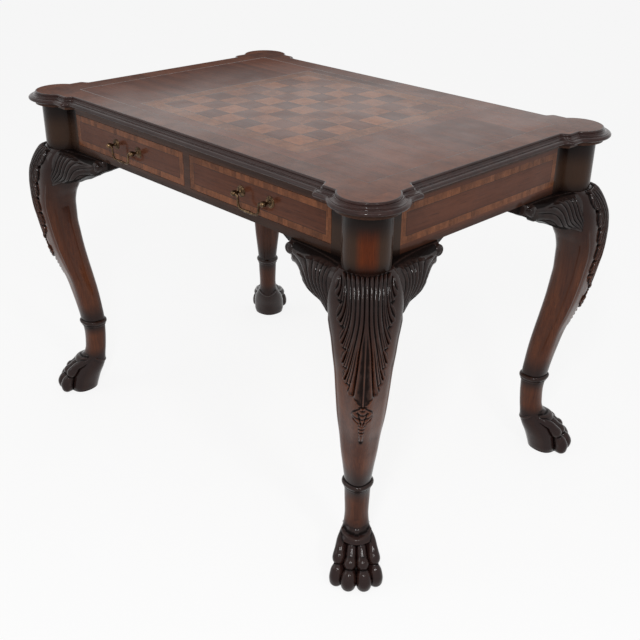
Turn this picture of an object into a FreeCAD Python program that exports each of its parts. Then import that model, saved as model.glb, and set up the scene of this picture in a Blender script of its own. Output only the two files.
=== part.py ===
import FreeCAD, Part
import math
import os
import Sketcher
from FreeCAD import Placement, Rotation, Vector

# Inlaid game table: a shouldered top with four round turret corners and an inlaid
# board of sixty-four squares, a case with two drawers under it, round corner columns
# and four carved cabriole legs on lion-paw feet.
# +X runs along the long side, the drawers open towards -Y, +Z is up, and the origin is
# on the floor under the middle of the table. All sizes are in millimetres.

SIZES = {
    # the whole table
    "table_height": 762.0,
    "top_length": 966.0,
    "top_width": 633.0,
    "glue_line": 0.1,
    "overrun": 6.0,
    # outline of the top: straight side, shoulder, cusp and turret
    "turret_radius": 51.0,
    "column_inset": 14.0,
    "shoulder_reach": 98.0,
    "shoulder_run": 15.0,
    "shoulder_step": 15.5,
    # layers of the top
    "moulding_height": 19.5,
    "moulding_reach": 18.5,
    "underframe_thickness": 7.5,
    "underframe_offset": 5.0,
    "underframe_width": 70.0,
    "veneer_thickness": 2.0,
    "border_width": 45.0,
    "stringing_width": 1.6,
    "field_margin": 25.7,
    "band_width": 33.0,
    # case under the top
    "apron_height": 98.5,
    "apron_setback": 5.0,
    "apron_thickness": 22.0,
    "post_side": 82.0,
    "column_radius": 42.5,
    "top_rail_height": 13.5,
    "bottom_rail_height": 16.3,
    "rail_depth": 60.0,
    "divider_width": 19.6,
    "tenon_length": 25.0,
    "tenon_shoulder": 4.0,
    "inlay_depth": 1.5,
    "crossband_width": 12.5,
    "fine_line_width": 1.3,
    # inside the case
    "runner_width": 30.0,
    "guide_height": 18.0,
    "stop_height": 6.0,
    "stop_length": 30.0,
    "stop_width": 14.0,
    "running_gap": 0.3,
    "corner_block_reach": 56.0,
    "corner_block_height": 32.0,
    "dowel_radius": 11.0,
    "dowel_depth": 52.0,
    "screw_radius": 2.2,
    "screw_length": 44.0,
    "screw_head_radius": 4.4,
    "screw_head_height": 3.0,
    # drawers
    "drawer_gap": 0.8,
    "drawer_depth": 430.0,
    "drawer_front_thickness": 20.0,
    "drawer_side_thickness": 10.0,
    "drawer_side_height": 58.0,
    "drawer_side_tail": 13.0,
    "drawer_bottom_thickness": 5.0,
    "drawer_bottom_rise": 7.0,
    "drawer_groove_depth": 5.0,
    "drawer_back_gap": 6.0,
    # swan-neck handles
    "handle_spacing": 80.0,
    "handle_standoff": 18.0,
    "rosette_radius": 11.0,
    "rosette_thickness": 2.6,
    "handle_post_radius": 3.2,
    "handle_head_radius": 5.4,
    "handle_bolt_radius": 2.0,
    "handle_bolt_end": 4.0,
    "handle_nut_side": 10.0,
    "handle_nut_thickness": 3.0,
    "bail_radius": 2.2,
    "bail_pin_radius": 1.7,
    "bail_pin_clearance": 0.08,
    "bail_drop": 25.0,
    "bail_shoulder": 10.0,
    "bail_shoulder_gap": 0.4,
    "bail_bottom_width": 42.0,
    "bail_bend_radius": 5.0,
    # legs
    "knee_reach": 91.0,
    "collar_radius": 29.5,
    "collar_offset": 18.0,
    "collar_height": 18.0,
    "collar_centre": 186.0,
    "toe_pad_radius": 14.4,
    "toe_knuckle_radius": 13.2,
    # knee brackets
    "ear_reach": 172.0,
    "ear_drop": 84.0,
    "ear_projection": 50.0,
}

# Section of the edge moulding, from the bead round to the back of its underside:
# share of moulding_reach outwards, share of moulding_height below the surface.
MOULDING_SHARES = (
    (0.05, 0.00),
    (0.15, 0.05),
    (0.175, 0.15),
    (0.16, 0.23),
    (0.28, 0.25),
    (0.285, 0.33),
    (0.40, 0.43),
    (0.645, 0.475),
    (0.65, 0.51),
    (0.86, 0.55),
    (0.98, 0.66),
    (0.99, 0.80),
    (0.86, 0.93),
    (0.27, 1.00),
)

# Stations down a leg: share of the leg's height below the post, then how far the
# outer and the inner corner lie outwards of the column's middle and the side corners
# lie aside of the diagonal, as shares of knee_reach.
LEG_SHARES = (
    (0.000, 0.51, -0.38, 0.50),
    (0.013, 0.68, -0.38, 0.58),
    (0.034, 0.79, -0.37, 0.64),
    (0.060, 0.885, -0.36, 0.68),
    (0.085, 0.95, -0.34, 0.69),
    (0.114, 0.985, -0.30, 0.68),
    (0.145, 1.00, -0.23, 0.65),
    (0.178, 1.00, -0.13, 0.61),
    (0.222, 0.985, -0.08, 0.575),
    (0.280, 0.91, -0.08, 0.53),
    (0.335, 0.83, -0.12, 0.505),
    (0.390, 0.73, -0.17, 0.48),
    (0.455, 0.565, -0.25, 0.45),
    (0.520, 0.39, -0.34, 0.41),
    (0.585, 0.275, -0.42, 0.37),
    (0.645, 0.185, -0.475, 0.32),
    (0.700, 0.12, -0.51, 0.28),
    (0.760, 0.065, -0.50, 0.265),
    (0.815, 0.085, -0.47, 0.25),
    (0.850, 0.20, -0.44, 0.27),
    (0.880, 0.42, -0.43, 0.345),
    (0.905, 0.58, -0.36, 0.42),
    (0.945, 0.72, -0.24, 0.46),
    (0.980, 0.77, -0.16, 0.46),
    (1.000, 0.74, -0.12, 0.43),
)
LEG_CORNER_SHARE = 0.36

# The inner and the outer toe. Where its tendon starts, where its knuckle is and where
# its pad is: shares of knee_reach outwards, aside and above the floor.
TOE_SHARES = (
    ((0.12, 0.055, 1.00), (0.56, 0.121, 0.600), (0.75, 0.156)),
    ((0.00, 0.105, 1.03), (0.46, 0.352, 0.600), (0.62, 0.400)),
)
# The lip above the toes: share of knee_reach outwards and above the floor, then half its
# width and half its height as shares of knee_reach.
LIP_SHARES = (0.265, 0.885, 0.27, 0.105)

# Sections of a knee bracket, square to the apron. Share of ear_reach along the apron,
# shares of ear_projection out for the top edge, the belly and the lower edge, and
# shares of ear_drop down for the lower edge in front and at the back.
EAR_SHARES = (
    (0.093, 0.48, 0.88, 0.92, 1.00, 1.07),
    (0.233, 0.40, 0.92, 0.93, 0.86, 0.95),
    (0.419, 0.26, 0.84, 0.79, 0.76, 0.81),
    (0.581, 0.18, 0.72, 0.68, 0.64, 0.655),
    (0.721, 0.14, 0.54, 0.46, 0.49, 0.52),
    (0.872, 0.14, 0.38, 0.28, 0.39, 0.39),
    (0.977, 0.06, 0.20, 0.10, 0.29, 0.29),
)
# How full a bracket's belly is: shares of its own projection and of its own drop.
EAR_BELLY_SHARES = ((1.16, 0.10), (1.12, 0.62))
# The two scrolls at the tip: shares of ear_reach along, of ear_drop down, of ear_drop
# for the radius, and of ear_projection out.
EAR_SCROLL_SHARES = ((0.925, 0.145, 0.125, 0.32), (0.872, 0.355, 0.090, 0.30))
# The plain end behind the scrolls: shares of ear_reach along and of ear_drop down, and
# how far its front lies behind the apron's face, as a share of apron_thickness.
EAR_TAIL_SHARES = ((0.81, 0.0), (1.245, 0.0), (1.245, 0.04), (1.10, 0.16), (0.95, 0.29), (0.81, 0.42))
EAR_TAIL_BACK_SHARE = 0.45

BOARD_SQUARES = 8
# Where a drawer's two stops lie, from its middle, in shares of its half width.
STOP_SHARES = (-0.5, 0.5)

# Section of the ankle collar: share of half its height along, share of its radius out.
COLLAR_SHARES = ((-1.0, 0.86), (-0.5, 0.98), (0.0, 1.0), (0.5, 0.98), (1.0, 0.86))

# A tendon swells into the knuckle: shares of its length along, of the knuckle's radius out.
TENDON_SHARES = ((-0.15, 0.0), (0.0, 0.42), (0.5, 0.74), (0.9, 1.0), (1.15, 0.72), (1.22, 0.0))
# A pad is an egg that leans back under the knuckle: shares of its radius along and out.
PAD_SHARES = ((-1.0, 0.0), (-0.6, 0.8), (0.0, 1.0), (1.0, 0.96), (1.9, 0.72), (2.3, 0.0))
PAD_LEAN_SHARE = 0.35
# The pads are a little flat underneath: share of pad radius from the floor to their middle.
PAD_RISE_SHARE = 0.86

# A rosette from its rim to its middle: share of its thickness, share of its radius.
ROSETTE_SHARES = ((0.0, 1.0), (0.4, 1.0), (0.7, 0.78), (0.8, 0.5), (1.0, 0.42))
# The neck of a handle post: share of the standoff along, share of the post's radius.
NECK_SHARES = (0.35, 0.8)
# The bend in a bail's shoulder, as a share of the bend above its grip.
SHOULDER_BEND_SHARE = 0.5


class Length:
    """A length in millimetres with the sheet expression that gives it."""

    def __init__(self, value, text):
        self.value = value
        self.text = text

    def __float__(self):
        return float(self.value)

    def __add__(self, other):
        return Length(self.value + other.value, f"({self.text} + {other.text})")

    def __sub__(self, other):
        return Length(self.value - other.value, f"({self.text} - {other.text})")

    def __mul__(self, share):
        return Length(self.value * share, f"({self.text} * {share})")

    def __truediv__(self, count):
        return Length(self.value / count, f"({self.text} / {count})")

    def __neg__(self):
        return Length(-self.value, f"(-{self.text})")


class Named:
    """Every driving size as an attribute."""


doc = FreeCAD.newDocument("game_table")
sheet = doc.addObject("Spreadsheet::Sheet", "sizes")
size = Named()
for row, (alias, value) in enumerate(SIZES.items(), start=1):
    sheet.set(f"A{row}", alias)
    sheet.set(f"B{row}", str(value))
    sheet.setAlias(f"B{row}", alias)
    setattr(size, alias, Length(value, f"sizes.{alias}"))
doc.recompute()

ZERO = Length(0.0, "0")
nodes = []

# Places worked out from the driving sizes.
half_length = size.top_length / 2
half_width = size.top_width / 2
moulding_bottom = size.table_height - size.moulding_height
case_top = moulding_bottom - size.underframe_thickness
case_bottom = case_top - size.apron_height
case_x = half_length - size.apron_setback
case_y = half_width - size.apron_setback
post_x = case_x - size.post_side
post_y = case_y - size.post_side
column_x = half_length - size.column_inset
column_y = half_width - size.column_inset
drawer_top = case_top - size.top_rail_height
drawer_floor = case_bottom + size.bottom_rail_height
veneer_bottom = size.table_height - size.veneer_thickness
border_x = half_length - size.border_width
border_y = half_width - size.border_width
field_x = border_x - size.stringing_width
field_y = border_y - size.stringing_width
board_frame = field_y - size.field_margin
band_outer = board_frame - size.stringing_width
band_inner = band_outer - size.band_width
board_half = band_inner - size.stringing_width
square_side = board_half * 2 / BOARD_SQUARES
screw_x = case_x - size.apron_thickness - size.corner_block_reach / 4
screw_y = -post_y + size.corner_block_reach / 4


def keep(obj, label):
    """Name an object as a finished sub-part."""
    obj.Label = label
    nodes.append(obj)
    return obj


def block(name, x, y, z):
    """A box between three pairs of lengths."""
    box = doc.addObject("Part::Box", name)
    for side, place, (low, high) in zip(("Length", "Width", "Height"), "xyz", (x, y, z)):
        box.setExpression(side, (high - low).text)
        box.setExpression("Placement.Base." + place, low.text)
    return box


def rod(name, radius, length, centre, turn=None):
    """A cylinder that starts at a point and runs along +Z, or along its turned axis."""
    cylinder = doc.addObject("Part::Cylinder", name)
    if turn:
        cylinder.Placement = Placement(Vector(), turn)
    cylinder.setExpression("Radius", radius.text)
    cylinder.setExpression("Height", length.text)
    for place, value in zip("xyz", centre):
        cylinder.setExpression("Placement.Base." + place, value.text)
    return cylinder


def cut(name, base, tools):
    """The base with each tool taken out of it in turn."""
    for count, tool in enumerate(tools):
        step = doc.addObject("Part::Cut", f"{name}_cut{count}")
        step.Base = base
        step.Tool = tool
        base = step
    return base


def fuse(name, parts):
    """One solid made of overlapping or touching parts."""
    joined = doc.addObject("Part::MultiFuse", name)
    joined.Shapes = parts
    joined.Refine = True
    return joined


def mirror(name, source, normal):
    """A mirror image across a plane through the table's middle."""
    image = doc.addObject("Part::Mirroring", name)
    image.Source = source
    image.Normal = normal
    return image


def group(name, parts):
    """Separate solids that share one node."""
    compound = doc.addObject("Part::Compound", name)
    compound.Links = parts
    return compound


def feature(name, shape):
    """A shape worked out from the sheet's values."""
    obj = doc.addObject("Part::Feature", name)
    obj.Shape = shape
    return obj


ACROSS = Vector(1, 0, 0)
ALONG = Vector(0, 1, 0)


def at_four_corners(name, source):
    """A corner piece and its three mirror images."""
    left = mirror(name + "_left", source, ACROSS)
    back = mirror(name + "_back", source, ALONG)
    return [source, left, back, mirror(name + "_back_left", left, ALONG)]


def ring(name, x, y, z, width):
    """A rectangular ring in plan."""
    inner_x = (x[0] + width, x[1] - width)
    inner_y = (y[0] + width, y[1] - width)
    through = (z[0] - size.overrun, z[1] + size.overrun)
    return cut(name, block(name + "_outer", x, y, z), [block(name + "_inner", inner_x, inner_y, through)])


# The top's outline

def corner_path(offset, height):
    """Edge points of one corner in the +X +Y quarter, from the long side to the short one."""
    step = float(size.shoulder_step) + offset
    radius = float(size.turret_radius) + offset
    stand = float(size.shoulder_step) + float(size.column_inset) + offset
    chord = math.sqrt(radius**2 - stand**2)
    reach = float(size.shoulder_reach) + offset / 2
    run = float(size.shoulder_run)
    long_x = float(half_length) - reach
    short_y = float(half_width) - reach
    centre = Vector(float(column_x), float(column_y), height)
    cusp_angle = math.atan2(stand, -chord)
    on_circle = lambda angle: centre + Vector(math.cos(angle), math.sin(angle), 0) * radius
    diagonal = math.pi / 4
    near = (cusp_angle + diagonal) / 2
    points = {
        "long_end": Vector(long_x, float(half_width) + offset, height),
        "long_bend": Vector(long_x + run / 2, float(half_width) + offset, height),
        "long_rise": Vector(long_x + run / 2, float(half_width) + step, height),
        "long_shoulder": Vector(long_x + run, float(half_width) + step, height),
        "long_cusp": on_circle(cusp_angle),
        "long_side_arc": on_circle(near),
        "diagonal": on_circle(diagonal),
        "short_side_arc": on_circle(2 * diagonal - near),
        "short_cusp": on_circle(2 * diagonal - cusp_angle),
        "short_shoulder": Vector(float(half_length) + step, short_y + run, height),
        "short_rise": Vector(float(half_length) + step, short_y + run / 2, height),
        "short_bend": Vector(float(half_length) + offset, short_y + run / 2, height),
        "short_end": Vector(float(half_length) + offset, short_y, height),
    }
    return points


def corner_edges(points, side_x, side_y):
    """The eight edges of a corner, turned to its quarter of the plan."""
    place = {name: Vector(p.x * side_x, p.y * side_y, p.z) for name, p in points.items()}

    def bend(*names):
        curve = Part.BezierCurve()
        curve.setPoles([place[name] for name in names])
        return curve.toShape()

    def line(first, last):
        return Part.makeLine(place[first], place[last])

    def arc(first, middle, last):
        return Part.Arc(place[first], place[middle], place[last]).toShape()

    return [
        bend("long_end", "long_bend", "long_rise", "long_shoulder"),
        line("long_shoulder", "long_cusp"),
        arc("long_cusp", "long_side_arc", "diagonal"),
        arc("diagonal", "short_side_arc", "short_cusp"),
        line("short_cusp", "short_shoulder"),
        bend("short_shoulder", "short_rise", "short_bend", "short_end"),
    ]


def outline(offset, height):
    """Closed outline of the top, moved outwards by an offset."""
    points = corner_path(offset, height)
    long_end = points["long_end"]
    short_end = points["short_end"]

    def straight(first, first_sides, last, last_sides):
        start = Vector(first.x * first_sides[0], first.y * first_sides[1], height)
        end = Vector(last.x * last_sides[0], last.y * last_sides[1], height)
        return Part.makeLine(start, end)

    edges = [straight(long_end, (-1, -1), long_end, (1, -1))]
    edges += corner_edges(points, 1, -1)
    edges += [straight(short_end, (1, -1), short_end, (1, 1))]
    edges += corner_edges(points, 1, 1)[::-1]
    edges += [straight(long_end, (1, 1), long_end, (-1, 1))]
    edges += corner_edges(points, -1, 1)
    edges += [straight(short_end, (-1, 1), short_end, (-1, -1))]
    edges += corner_edges(points, -1, -1)[::-1]
    return Part.Wire(edges)


def plate(offset, low, high):
    """A board with the top's outline between two heights."""
    return Part.Face(outline(offset, float(low))).extrude(Vector(0, 0, float(high - low)))


def slab(x, y, z):
    """A plain box shape between three pairs of lengths."""
    corner = Vector(float(x[0]), float(y[0]), float(z[0]))
    return Part.makeBox(float(x[1] - x[0]), float(y[1] - y[0]), float(z[1] - z[0]), corner)


def both_ways(length):
    """The pair of lengths that lies evenly about the middle."""
    return (-length, length)


def top():
    """The core board, its moulded edge, the underframe and the inlaid surface."""
    glue = float(size.glue_line)
    core = plate(-glue, moulding_bottom, veneer_bottom)
    holes = group("screw_holes", at_four_corners("screw_hole", screw_hole()))
    keep(cut("core", feature("top_core_board", core), [holes]), "top_core")

    levels = []
    for out, down in MOULDING_SHARES:
        height = float(size.table_height - size.moulding_height * down)
        levels.append(outline(float(size.moulding_reach) * out, height))
    moulding = Part.makeLoft(levels, True, True)
    inside = plate(0, moulding_bottom - size.overrun, size.table_height + size.overrun)
    keep(feature("edge_moulding", moulding.cut(inside)), "top_edge_moulding")

    under = plate(float(size.underframe_offset), case_top, moulding_bottom)
    opening = slab(
        both_ways(half_length - size.underframe_width),
        both_ways(half_width - size.underframe_width),
        (case_top - size.overrun, moulding_bottom + size.overrun),
    )
    keep(cut("underframe", feature("underframe_ring", under.cut(opening)), [holes]), "top_underframe")

    skin = (veneer_bottom, size.table_height)
    border = plate(-glue, *skin).cut(
        slab(both_ways(border_x), both_ways(border_y), (moulding_bottom, size.table_height + size.overrun))
    )
    keep(feature("crossband", border), "border_crossband")
    line = size.stringing_width
    keep(ring("border_line", both_ways(border_x), both_ways(border_y), skin, line), "border_stringing")

    through = (veneer_bottom - size.overrun, size.table_height + size.overrun)
    field = block("field_sheet", both_ways(field_x), both_ways(field_y), skin)
    window = block("field_window", both_ways(board_frame), both_ways(board_frame), through)
    keep(cut("field", field, [window]), "field_veneer")
    outer_line = ring("frame_outer_line", both_ways(board_frame), both_ways(board_frame), skin, line)
    inner_line = ring("frame_inner_line", both_ways(band_inner), both_ways(band_inner), skin, line)
    keep(group("frame_lines", [outer_line, inner_line]), "board_stringing")
    band = ring("frame_band", both_ways(band_outer), both_ways(band_outer), skin, size.band_width)
    keep(band, "board_frame_band")

    squares = {"light_squares": [], "dark_squares": []}
    side = float(square_side)
    for column in range(BOARD_SQUARES):
        for rank in range(BOARD_SQUARES):
            colour = "light_squares" if (column + rank) % 2 else "dark_squares"
            corner = Vector(
                -float(board_half) + column * side,
                -float(board_half) + rank * side,
                float(veneer_bottom),
            )
            squares[colour].append(Part.makeBox(side, side, float(size.veneer_thickness), corner))
    for colour, solids in squares.items():
        keep(feature(colour + "_inlay", Part.makeCompound(solids)), colour)


# The case

def tenoned_board(name, x, y, z, axis):
    """A rail with a tenon at each end, along axis 0 (X) or 1 (Y)."""
    core = [x, y, z]
    tongue = []
    for number, (low, high) in enumerate(core):
        if number == axis:
            tongue.append((low - size.tenon_length, high + size.tenon_length))
        else:
            tongue.append((low + size.tenon_shoulder, high - size.tenon_shoulder))
    return fuse(name, [block(name + "_board", x, y, z), block(name + "_tenons", *tongue)])


def panel_rings(name, along, z, face, outwards, upright):
    """Crossband and fine line let into an upright face, as two ring objects.

    along is the panel's extent along the apron, face the plane of its front, outwards
    +1 or -1 the way it looks, and upright 0 for a face square to X, 1 square to Y.
    """
    depth = size.inlay_depth
    sunk = (face - depth, face) if outwards > 0 else (face, face + depth)
    proud = (sunk[0] - size.overrun, sunk[1] + size.overrun)
    rings = []
    low = ZERO
    for part, width in (("band", size.crossband_width), ("line", size.fine_line_width)):
        outer_along = (along[0] + low, along[1] - low)
        outer_z = (z[0] + low, z[1] - low)
        low = low + width
        inner_along = (along[0] + low, along[1] - low)
        inner_z = (z[0] + low, z[1] - low)
        if upright == 0:
            outer = block(f"{name}_{part}_outer", sunk, outer_along, outer_z)
            inner = block(f"{name}_{part}_inner", proud, inner_along, inner_z)
        else:
            outer = block(f"{name}_{part}_outer", outer_along, sunk, outer_z)
            inner = block(f"{name}_{part}_inner", inner_along, proud, inner_z)
        rings.append(cut(f"{name}_{part}", outer, [inner]))
    return rings


def case():
    """Rails, divider, aprons, columns and the pieces that hold them together."""
    front_y = (-case_y, -case_y + size.rail_depth)
    across = both_ways(post_x)
    top_rail = tenoned_board("top_rail", across, front_y, (drawer_top, case_top), 0)
    bottom_rail = tenoned_board("bottom_rail", across, front_y, (case_bottom, drawer_floor), 0)
    keep(top_rail, "front_top_rail")
    keep(bottom_rail, "front_bottom_rail")
    divider = block("divider", both_ways(size.divider_width / 2), front_y, (drawer_floor, drawer_top))
    keep(divider, "drawer_divider")

    full_height = (case_bottom, case_top)
    panel_z = (drawer_floor, drawer_top)
    back_board = tenoned_board("back_board", across, (case_y - size.apron_thickness, case_y), full_height, 0)
    back_rings = panel_rings("back_panel", across, panel_z, case_y, 1, 1)
    back = cut("back_apron", back_board, back_rings)
    keep(back, "back_apron")
    side_x = (case_x - size.apron_thickness, case_x)
    right_board = tenoned_board("right_board", side_x, both_ways(post_y), full_height, 1)
    right_rings = panel_rings("right_panel", both_ways(post_y), panel_z, case_x, 1, 0)
    right = cut("right_apron", right_board, right_rings)
    keep(right, "right_apron")
    keep(mirror("left_side", right, ACROSS), "left_apron")
    bands = [mirror("left_band", right_rings[0], ACROSS), right_rings[0], back_rings[0]]
    lines = [mirror("left_line", right_rings[1], ACROSS), right_rings[1], back_rings[1]]
    keep(group("apron_bands", bands), "apron_crossbands")
    keep(group("apron_lines", lines), "apron_stringing")

    dowel_low = case_bottom - size.dowel_depth
    dowel = rod("dowel", size.dowel_radius, size.dowel_depth * 2, (column_x, -column_y, dowel_low))
    socket_radius = size.dowel_radius + size.glue_line
    socket = rod("socket", socket_radius, size.dowel_depth * 2, (column_x, -column_y, dowel_low))
    keep(group("dowels", at_four_corners("dowel", dowel)), "leg_dowels")

    column = rod("column", size.column_radius, size.apron_height, (column_x, -column_y, case_bottom))
    square = block("square", (post_x, case_x), (-case_y, -post_y), full_height)
    front_post = cut("front_post", fuse("post", [square, column]), [top_rail, bottom_rail, right, socket])
    keep(front_post, "corner_post_front_right")
    keep(mirror("front_left_post", front_post, ACROSS), "corner_post_front_left")
    back_image = mirror("back_blank", back, ALONG)
    back_blank = cut("back_post", fuse("post_blank", [square, column]), [back_image, right, socket])
    back_post = mirror("back_right_post", back_blank, ALONG)
    keep(back_post, "corner_post_back_right")
    keep(mirror("back_left_post", back_post, ACROSS), "corner_post_back_left")

    behind = (-case_y + size.rail_depth, case_y - size.apron_thickness)
    outer = (post_x - size.runner_width, post_x)
    middle = size.divider_width / 2 + size.runner_width
    runner = block("runner", outer, behind, (case_bottom, drawer_floor))
    centre = block("centre_runner", both_ways(middle), behind, (case_bottom, drawer_floor))
    keep(group("runners", [mirror("left_runner", runner, ACROSS), centre, runner]), "drawer_runners")
    kicker = block("kicker", outer, behind, (drawer_top, case_top))
    centre_kicker = block("centre_kicker", both_ways(middle), behind, (drawer_top, case_top))
    keep(group("kickers", [mirror("left_kicker", kicker, ACROSS), centre_kicker, kicker]), "drawer_kickers")
    guide_z = (drawer_floor - size.guide_height / 2, drawer_floor + size.guide_height)
    guide = block("guide", (post_x, case_x - size.apron_thickness), both_ways(post_y), guide_z)
    centre_z = (drawer_floor, drawer_floor + size.guide_height)
    centre_guide = block("centre_guide", both_ways(size.divider_width / 2), behind, centre_z)
    keep(group("guides", [mirror("left_guide", guide, ACROSS), centre_guide, guide]), "drawer_guides")

    stop_y = -case_y + size.drawer_front_thickness + size.running_gap
    drawer_middle = (post_x + size.divider_width / 2) / 2
    stop_z = (drawer_floor, drawer_floor + size.stop_height)
    stops = []
    for number, share in enumerate(STOP_SHARES):
        stop_x = drawer_middle + drawer_middle * share
        span = (stop_x - size.stop_length / 2, stop_x + size.stop_length / 2)
        stop = block(f"stop{number}", span, (stop_y, stop_y + size.stop_width), stop_z)
        stops += [stop, mirror(f"left_stop{number}", stop, ACROSS)]
    keep(group("stops", stops), "drawer_stops")

    keep(group("blocks", at_four_corners("corner_block", corner_block())), "corner_blocks")
    keep(group("screws", at_four_corners("top_screw", top_screw())), "top_screws")
    return socket


def corner_block():
    """Three-sided glue block between a side apron, a post and the underframe."""
    body = doc.addObject("PartDesign::Body", "corner_block_body")
    plan = body.newObject("Sketcher::SketchObject", "corner_block_plan")
    plan.AttachmentSupport = [(origin_plane(body, "XY_Plane"), "")]
    plan.MapMode = "FlatFace"
    reach = float(size.corner_block_reach)
    ends = [Vector(0, 0, 0), Vector(-reach, 0, 0), Vector(0, reach, 0)]
    lines = [Part.LineSegment(ends[n], ends[(n + 1) % 3]) for n in range(3)]
    plan.addGeometry(lines, False)
    for first, last in ((0, 1), (1, 2), (2, 0)):
        plan.addConstraint(Sketcher.Constraint("Coincident", first, 2, last, 1))
    plan.addConstraint(Sketcher.Constraint("Coincident", 0, 1, -1, 1))
    plan.addConstraint(Sketcher.Constraint("Horizontal", 0))
    plan.addConstraint(Sketcher.Constraint("Vertical", 2))
    across = plan.addConstraint(Sketcher.Constraint("Distance", 0, reach))
    along = plan.addConstraint(Sketcher.Constraint("Distance", 2, reach))
    for constraint in (across, along):
        plan.setExpression(f"Constraints[{constraint}]", size.corner_block_reach.text)
    pad = body.newObject("PartDesign::Pad", "corner_block_pad")
    pad.Profile = plan
    pad.setExpression("Length", size.corner_block_height.text)
    doc.recompute()
    body.setExpression("Placement.Base.x", (case_x - size.apron_thickness).text)
    body.setExpression("Placement.Base.y", (-post_y).text)
    body.setExpression("Placement.Base.z", (case_top - size.corner_block_height).text)
    return cut("corner_block", body, [screw_hole()])


def origin_plane(body, role):
    """One of a body's own origin planes."""
    return next(plane for plane in body.Origin.OriginFeatures if plane.Role == role)


def screw_hole():
    """The hole for one screw, through a corner block and up into the core board."""
    radius = size.screw_radius + size.glue_line
    low = case_top - size.corner_block_height - size.overrun
    return rod("screw_bore", radius, size.screw_length + size.overrun, (screw_x, screw_y, low))


def top_screw():
    """A wood screw driven up through a corner block."""
    low = case_top - size.corner_block_height
    shank = rod("screw_shank", size.screw_radius, size.screw_length, (screw_x, screw_y, low))
    head_low = low - size.screw_head_height
    head = rod("screw_head", size.screw_head_radius, size.screw_head_height, (screw_x, screw_y, head_low))
    return fuse("screw", [shank, head])


# Legs

def corner_point(out, aside, height):
    """A point by its distance outwards along the front right diagonal and sideways."""
    half_turn = math.sqrt(0.5)
    x = float(column_x) + (out + aside) * half_turn
    y = -float(column_y) - (out - aside) * half_turn
    return Vector(x, y, height)


def leg_section(outer, inner, aside, height):
    """A section of the leg: four flat sides, with its corners on the diagonal rounded."""
    rounding = LEG_CORNER_SHARE
    swell = 1 / (1 - rounding / 2)
    middle = (outer + inner) / 2
    out = (outer - inner) / 2 * swell
    side = aside * swell
    corners = [(middle + out, 0), (middle, side), (middle - out, 0), (middle, -side)]
    corners = [corner_point(along, across, height) for along, across in corners]
    edges = []
    for before, corner, after in zip(corners[-1:] + corners[:-1], corners, corners[1:] + corners[:1]):
        first = corner + (before - corner) * rounding
        last = corner + (after - corner) * rounding
        curve = Part.BezierCurve()
        curve.setPoles([first, corner, last])
        edges.append(curve.toShape())
        edges.append(Part.makeLine(last, after + (corner - after) * rounding))
    return Part.Wire(edges)


def turned(profile, start, axis):
    """A solid of revolution: a smooth profile of (along, radius) about an axis."""
    points = [Vector(radius, 0, along) for along, radius in profile]
    curve = Part.BSplineCurve()
    curve.interpolate(points)
    face = Part.Face(Part.Wire([curve.toShape(), Part.makeLine(points[-1], points[0])]))
    solid = face.revolve(Vector(), Vector(0, 0, 1), 360)
    solid.Placement = Placement(start, Rotation(Vector(0, 0, 1), axis))
    return solid


def toe(tendon, knuckle, pad, sign):
    """One toe's two pieces: a tendon that swells into its knuckle, and the pad below."""
    reach = float(size.knee_reach)
    knuckle_radius = float(size.toe_knuckle_radius)
    pad_radius = float(size.toe_pad_radius)
    start, knuckle_centre = (
        corner_point(out * reach, sign * aside * reach, rise * reach)
        for out, aside, rise in (tendon, knuckle)
    )
    axis = knuckle_centre - start
    profile = [(axis.Length * along, knuckle_radius * thick) for along, thick in TENDON_SHARES]
    club = turned(profile, start, axis)
    pad_out, pad_aside = pad
    pad_centre = corner_point(pad_out * reach, sign * pad_aside * reach, pad_radius * PAD_RISE_SHARE)
    lean = corner_point(-PAD_LEAN_SHARE, 0, 1) - corner_point(0, 0, 0)
    profile = [(pad_radius * along, pad_radius * thick) for along, thick in PAD_SHARES]
    return [club, turned(profile, pad_centre, lean)]


def lip():
    """The lip of skin that hangs over the roots of the toes, a flat egg across the foot."""
    reach = float(size.knee_reach)
    out, rise, half_width, half_height = (share * reach for share in LIP_SHARES)
    ball = Part.makeSphere(half_height, Vector(), Vector(0, 0, 1))
    stretch = FreeCAD.Matrix()
    stretch.scale(1, half_width / half_height, 1)
    egg = ball.transformGeometry(stretch)
    egg.Placement = Placement(corner_point(out, 0, rise), Rotation(Vector(0, 0, 1), -45))
    return egg


def leg():
    """Front right leg: cabriole shaft, ankle collar and paw."""
    height = float(case_bottom)
    reach = float(size.knee_reach)
    sections = [
        leg_section(outer * reach, inner * reach, aside * reach, height * (1 - down))
        for down, outer, inner, aside in LEG_SHARES
    ]
    shaft = Part.makeLoft(sections, True, False)
    radius = float(size.collar_radius)
    half_height = float(size.collar_height) / 2
    middle = corner_point(-float(size.collar_offset), 0, float(size.collar_centre))
    edge = [Vector(radius * out, 0, half_height * along) for along, out in COLLAR_SHARES]
    curve = Part.BSplineCurve()
    curve.interpolate(edge)
    low, high = Vector(0, 0, -half_height), Vector(0, 0, half_height)
    sides = [Part.makeLine(low, edge[0]), curve.toShape()]
    sides += [Part.makeLine(edge[-1], high), Part.makeLine(high, low)]
    collar = Part.Face(Part.Wire(sides)).revolve(Vector(), Vector(0, 0, 1), 360)
    collar.Placement = Placement(middle, Rotation())
    whole = shaft.fuse(collar)
    for shares in TOE_SHARES:
        for sign in (-1, 1):
            for part_of_toe in toe(*shares, sign):
                whole = whole.fuse(part_of_toe)
    whole = whole.fuse(lip())
    below = Vector(float(column_x) - 2 * reach, -float(column_y) - 2 * reach, -reach)
    floor = Part.makeBox(4 * reach, 4 * reach, reach, below)
    return whole.cut(floor)


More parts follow.
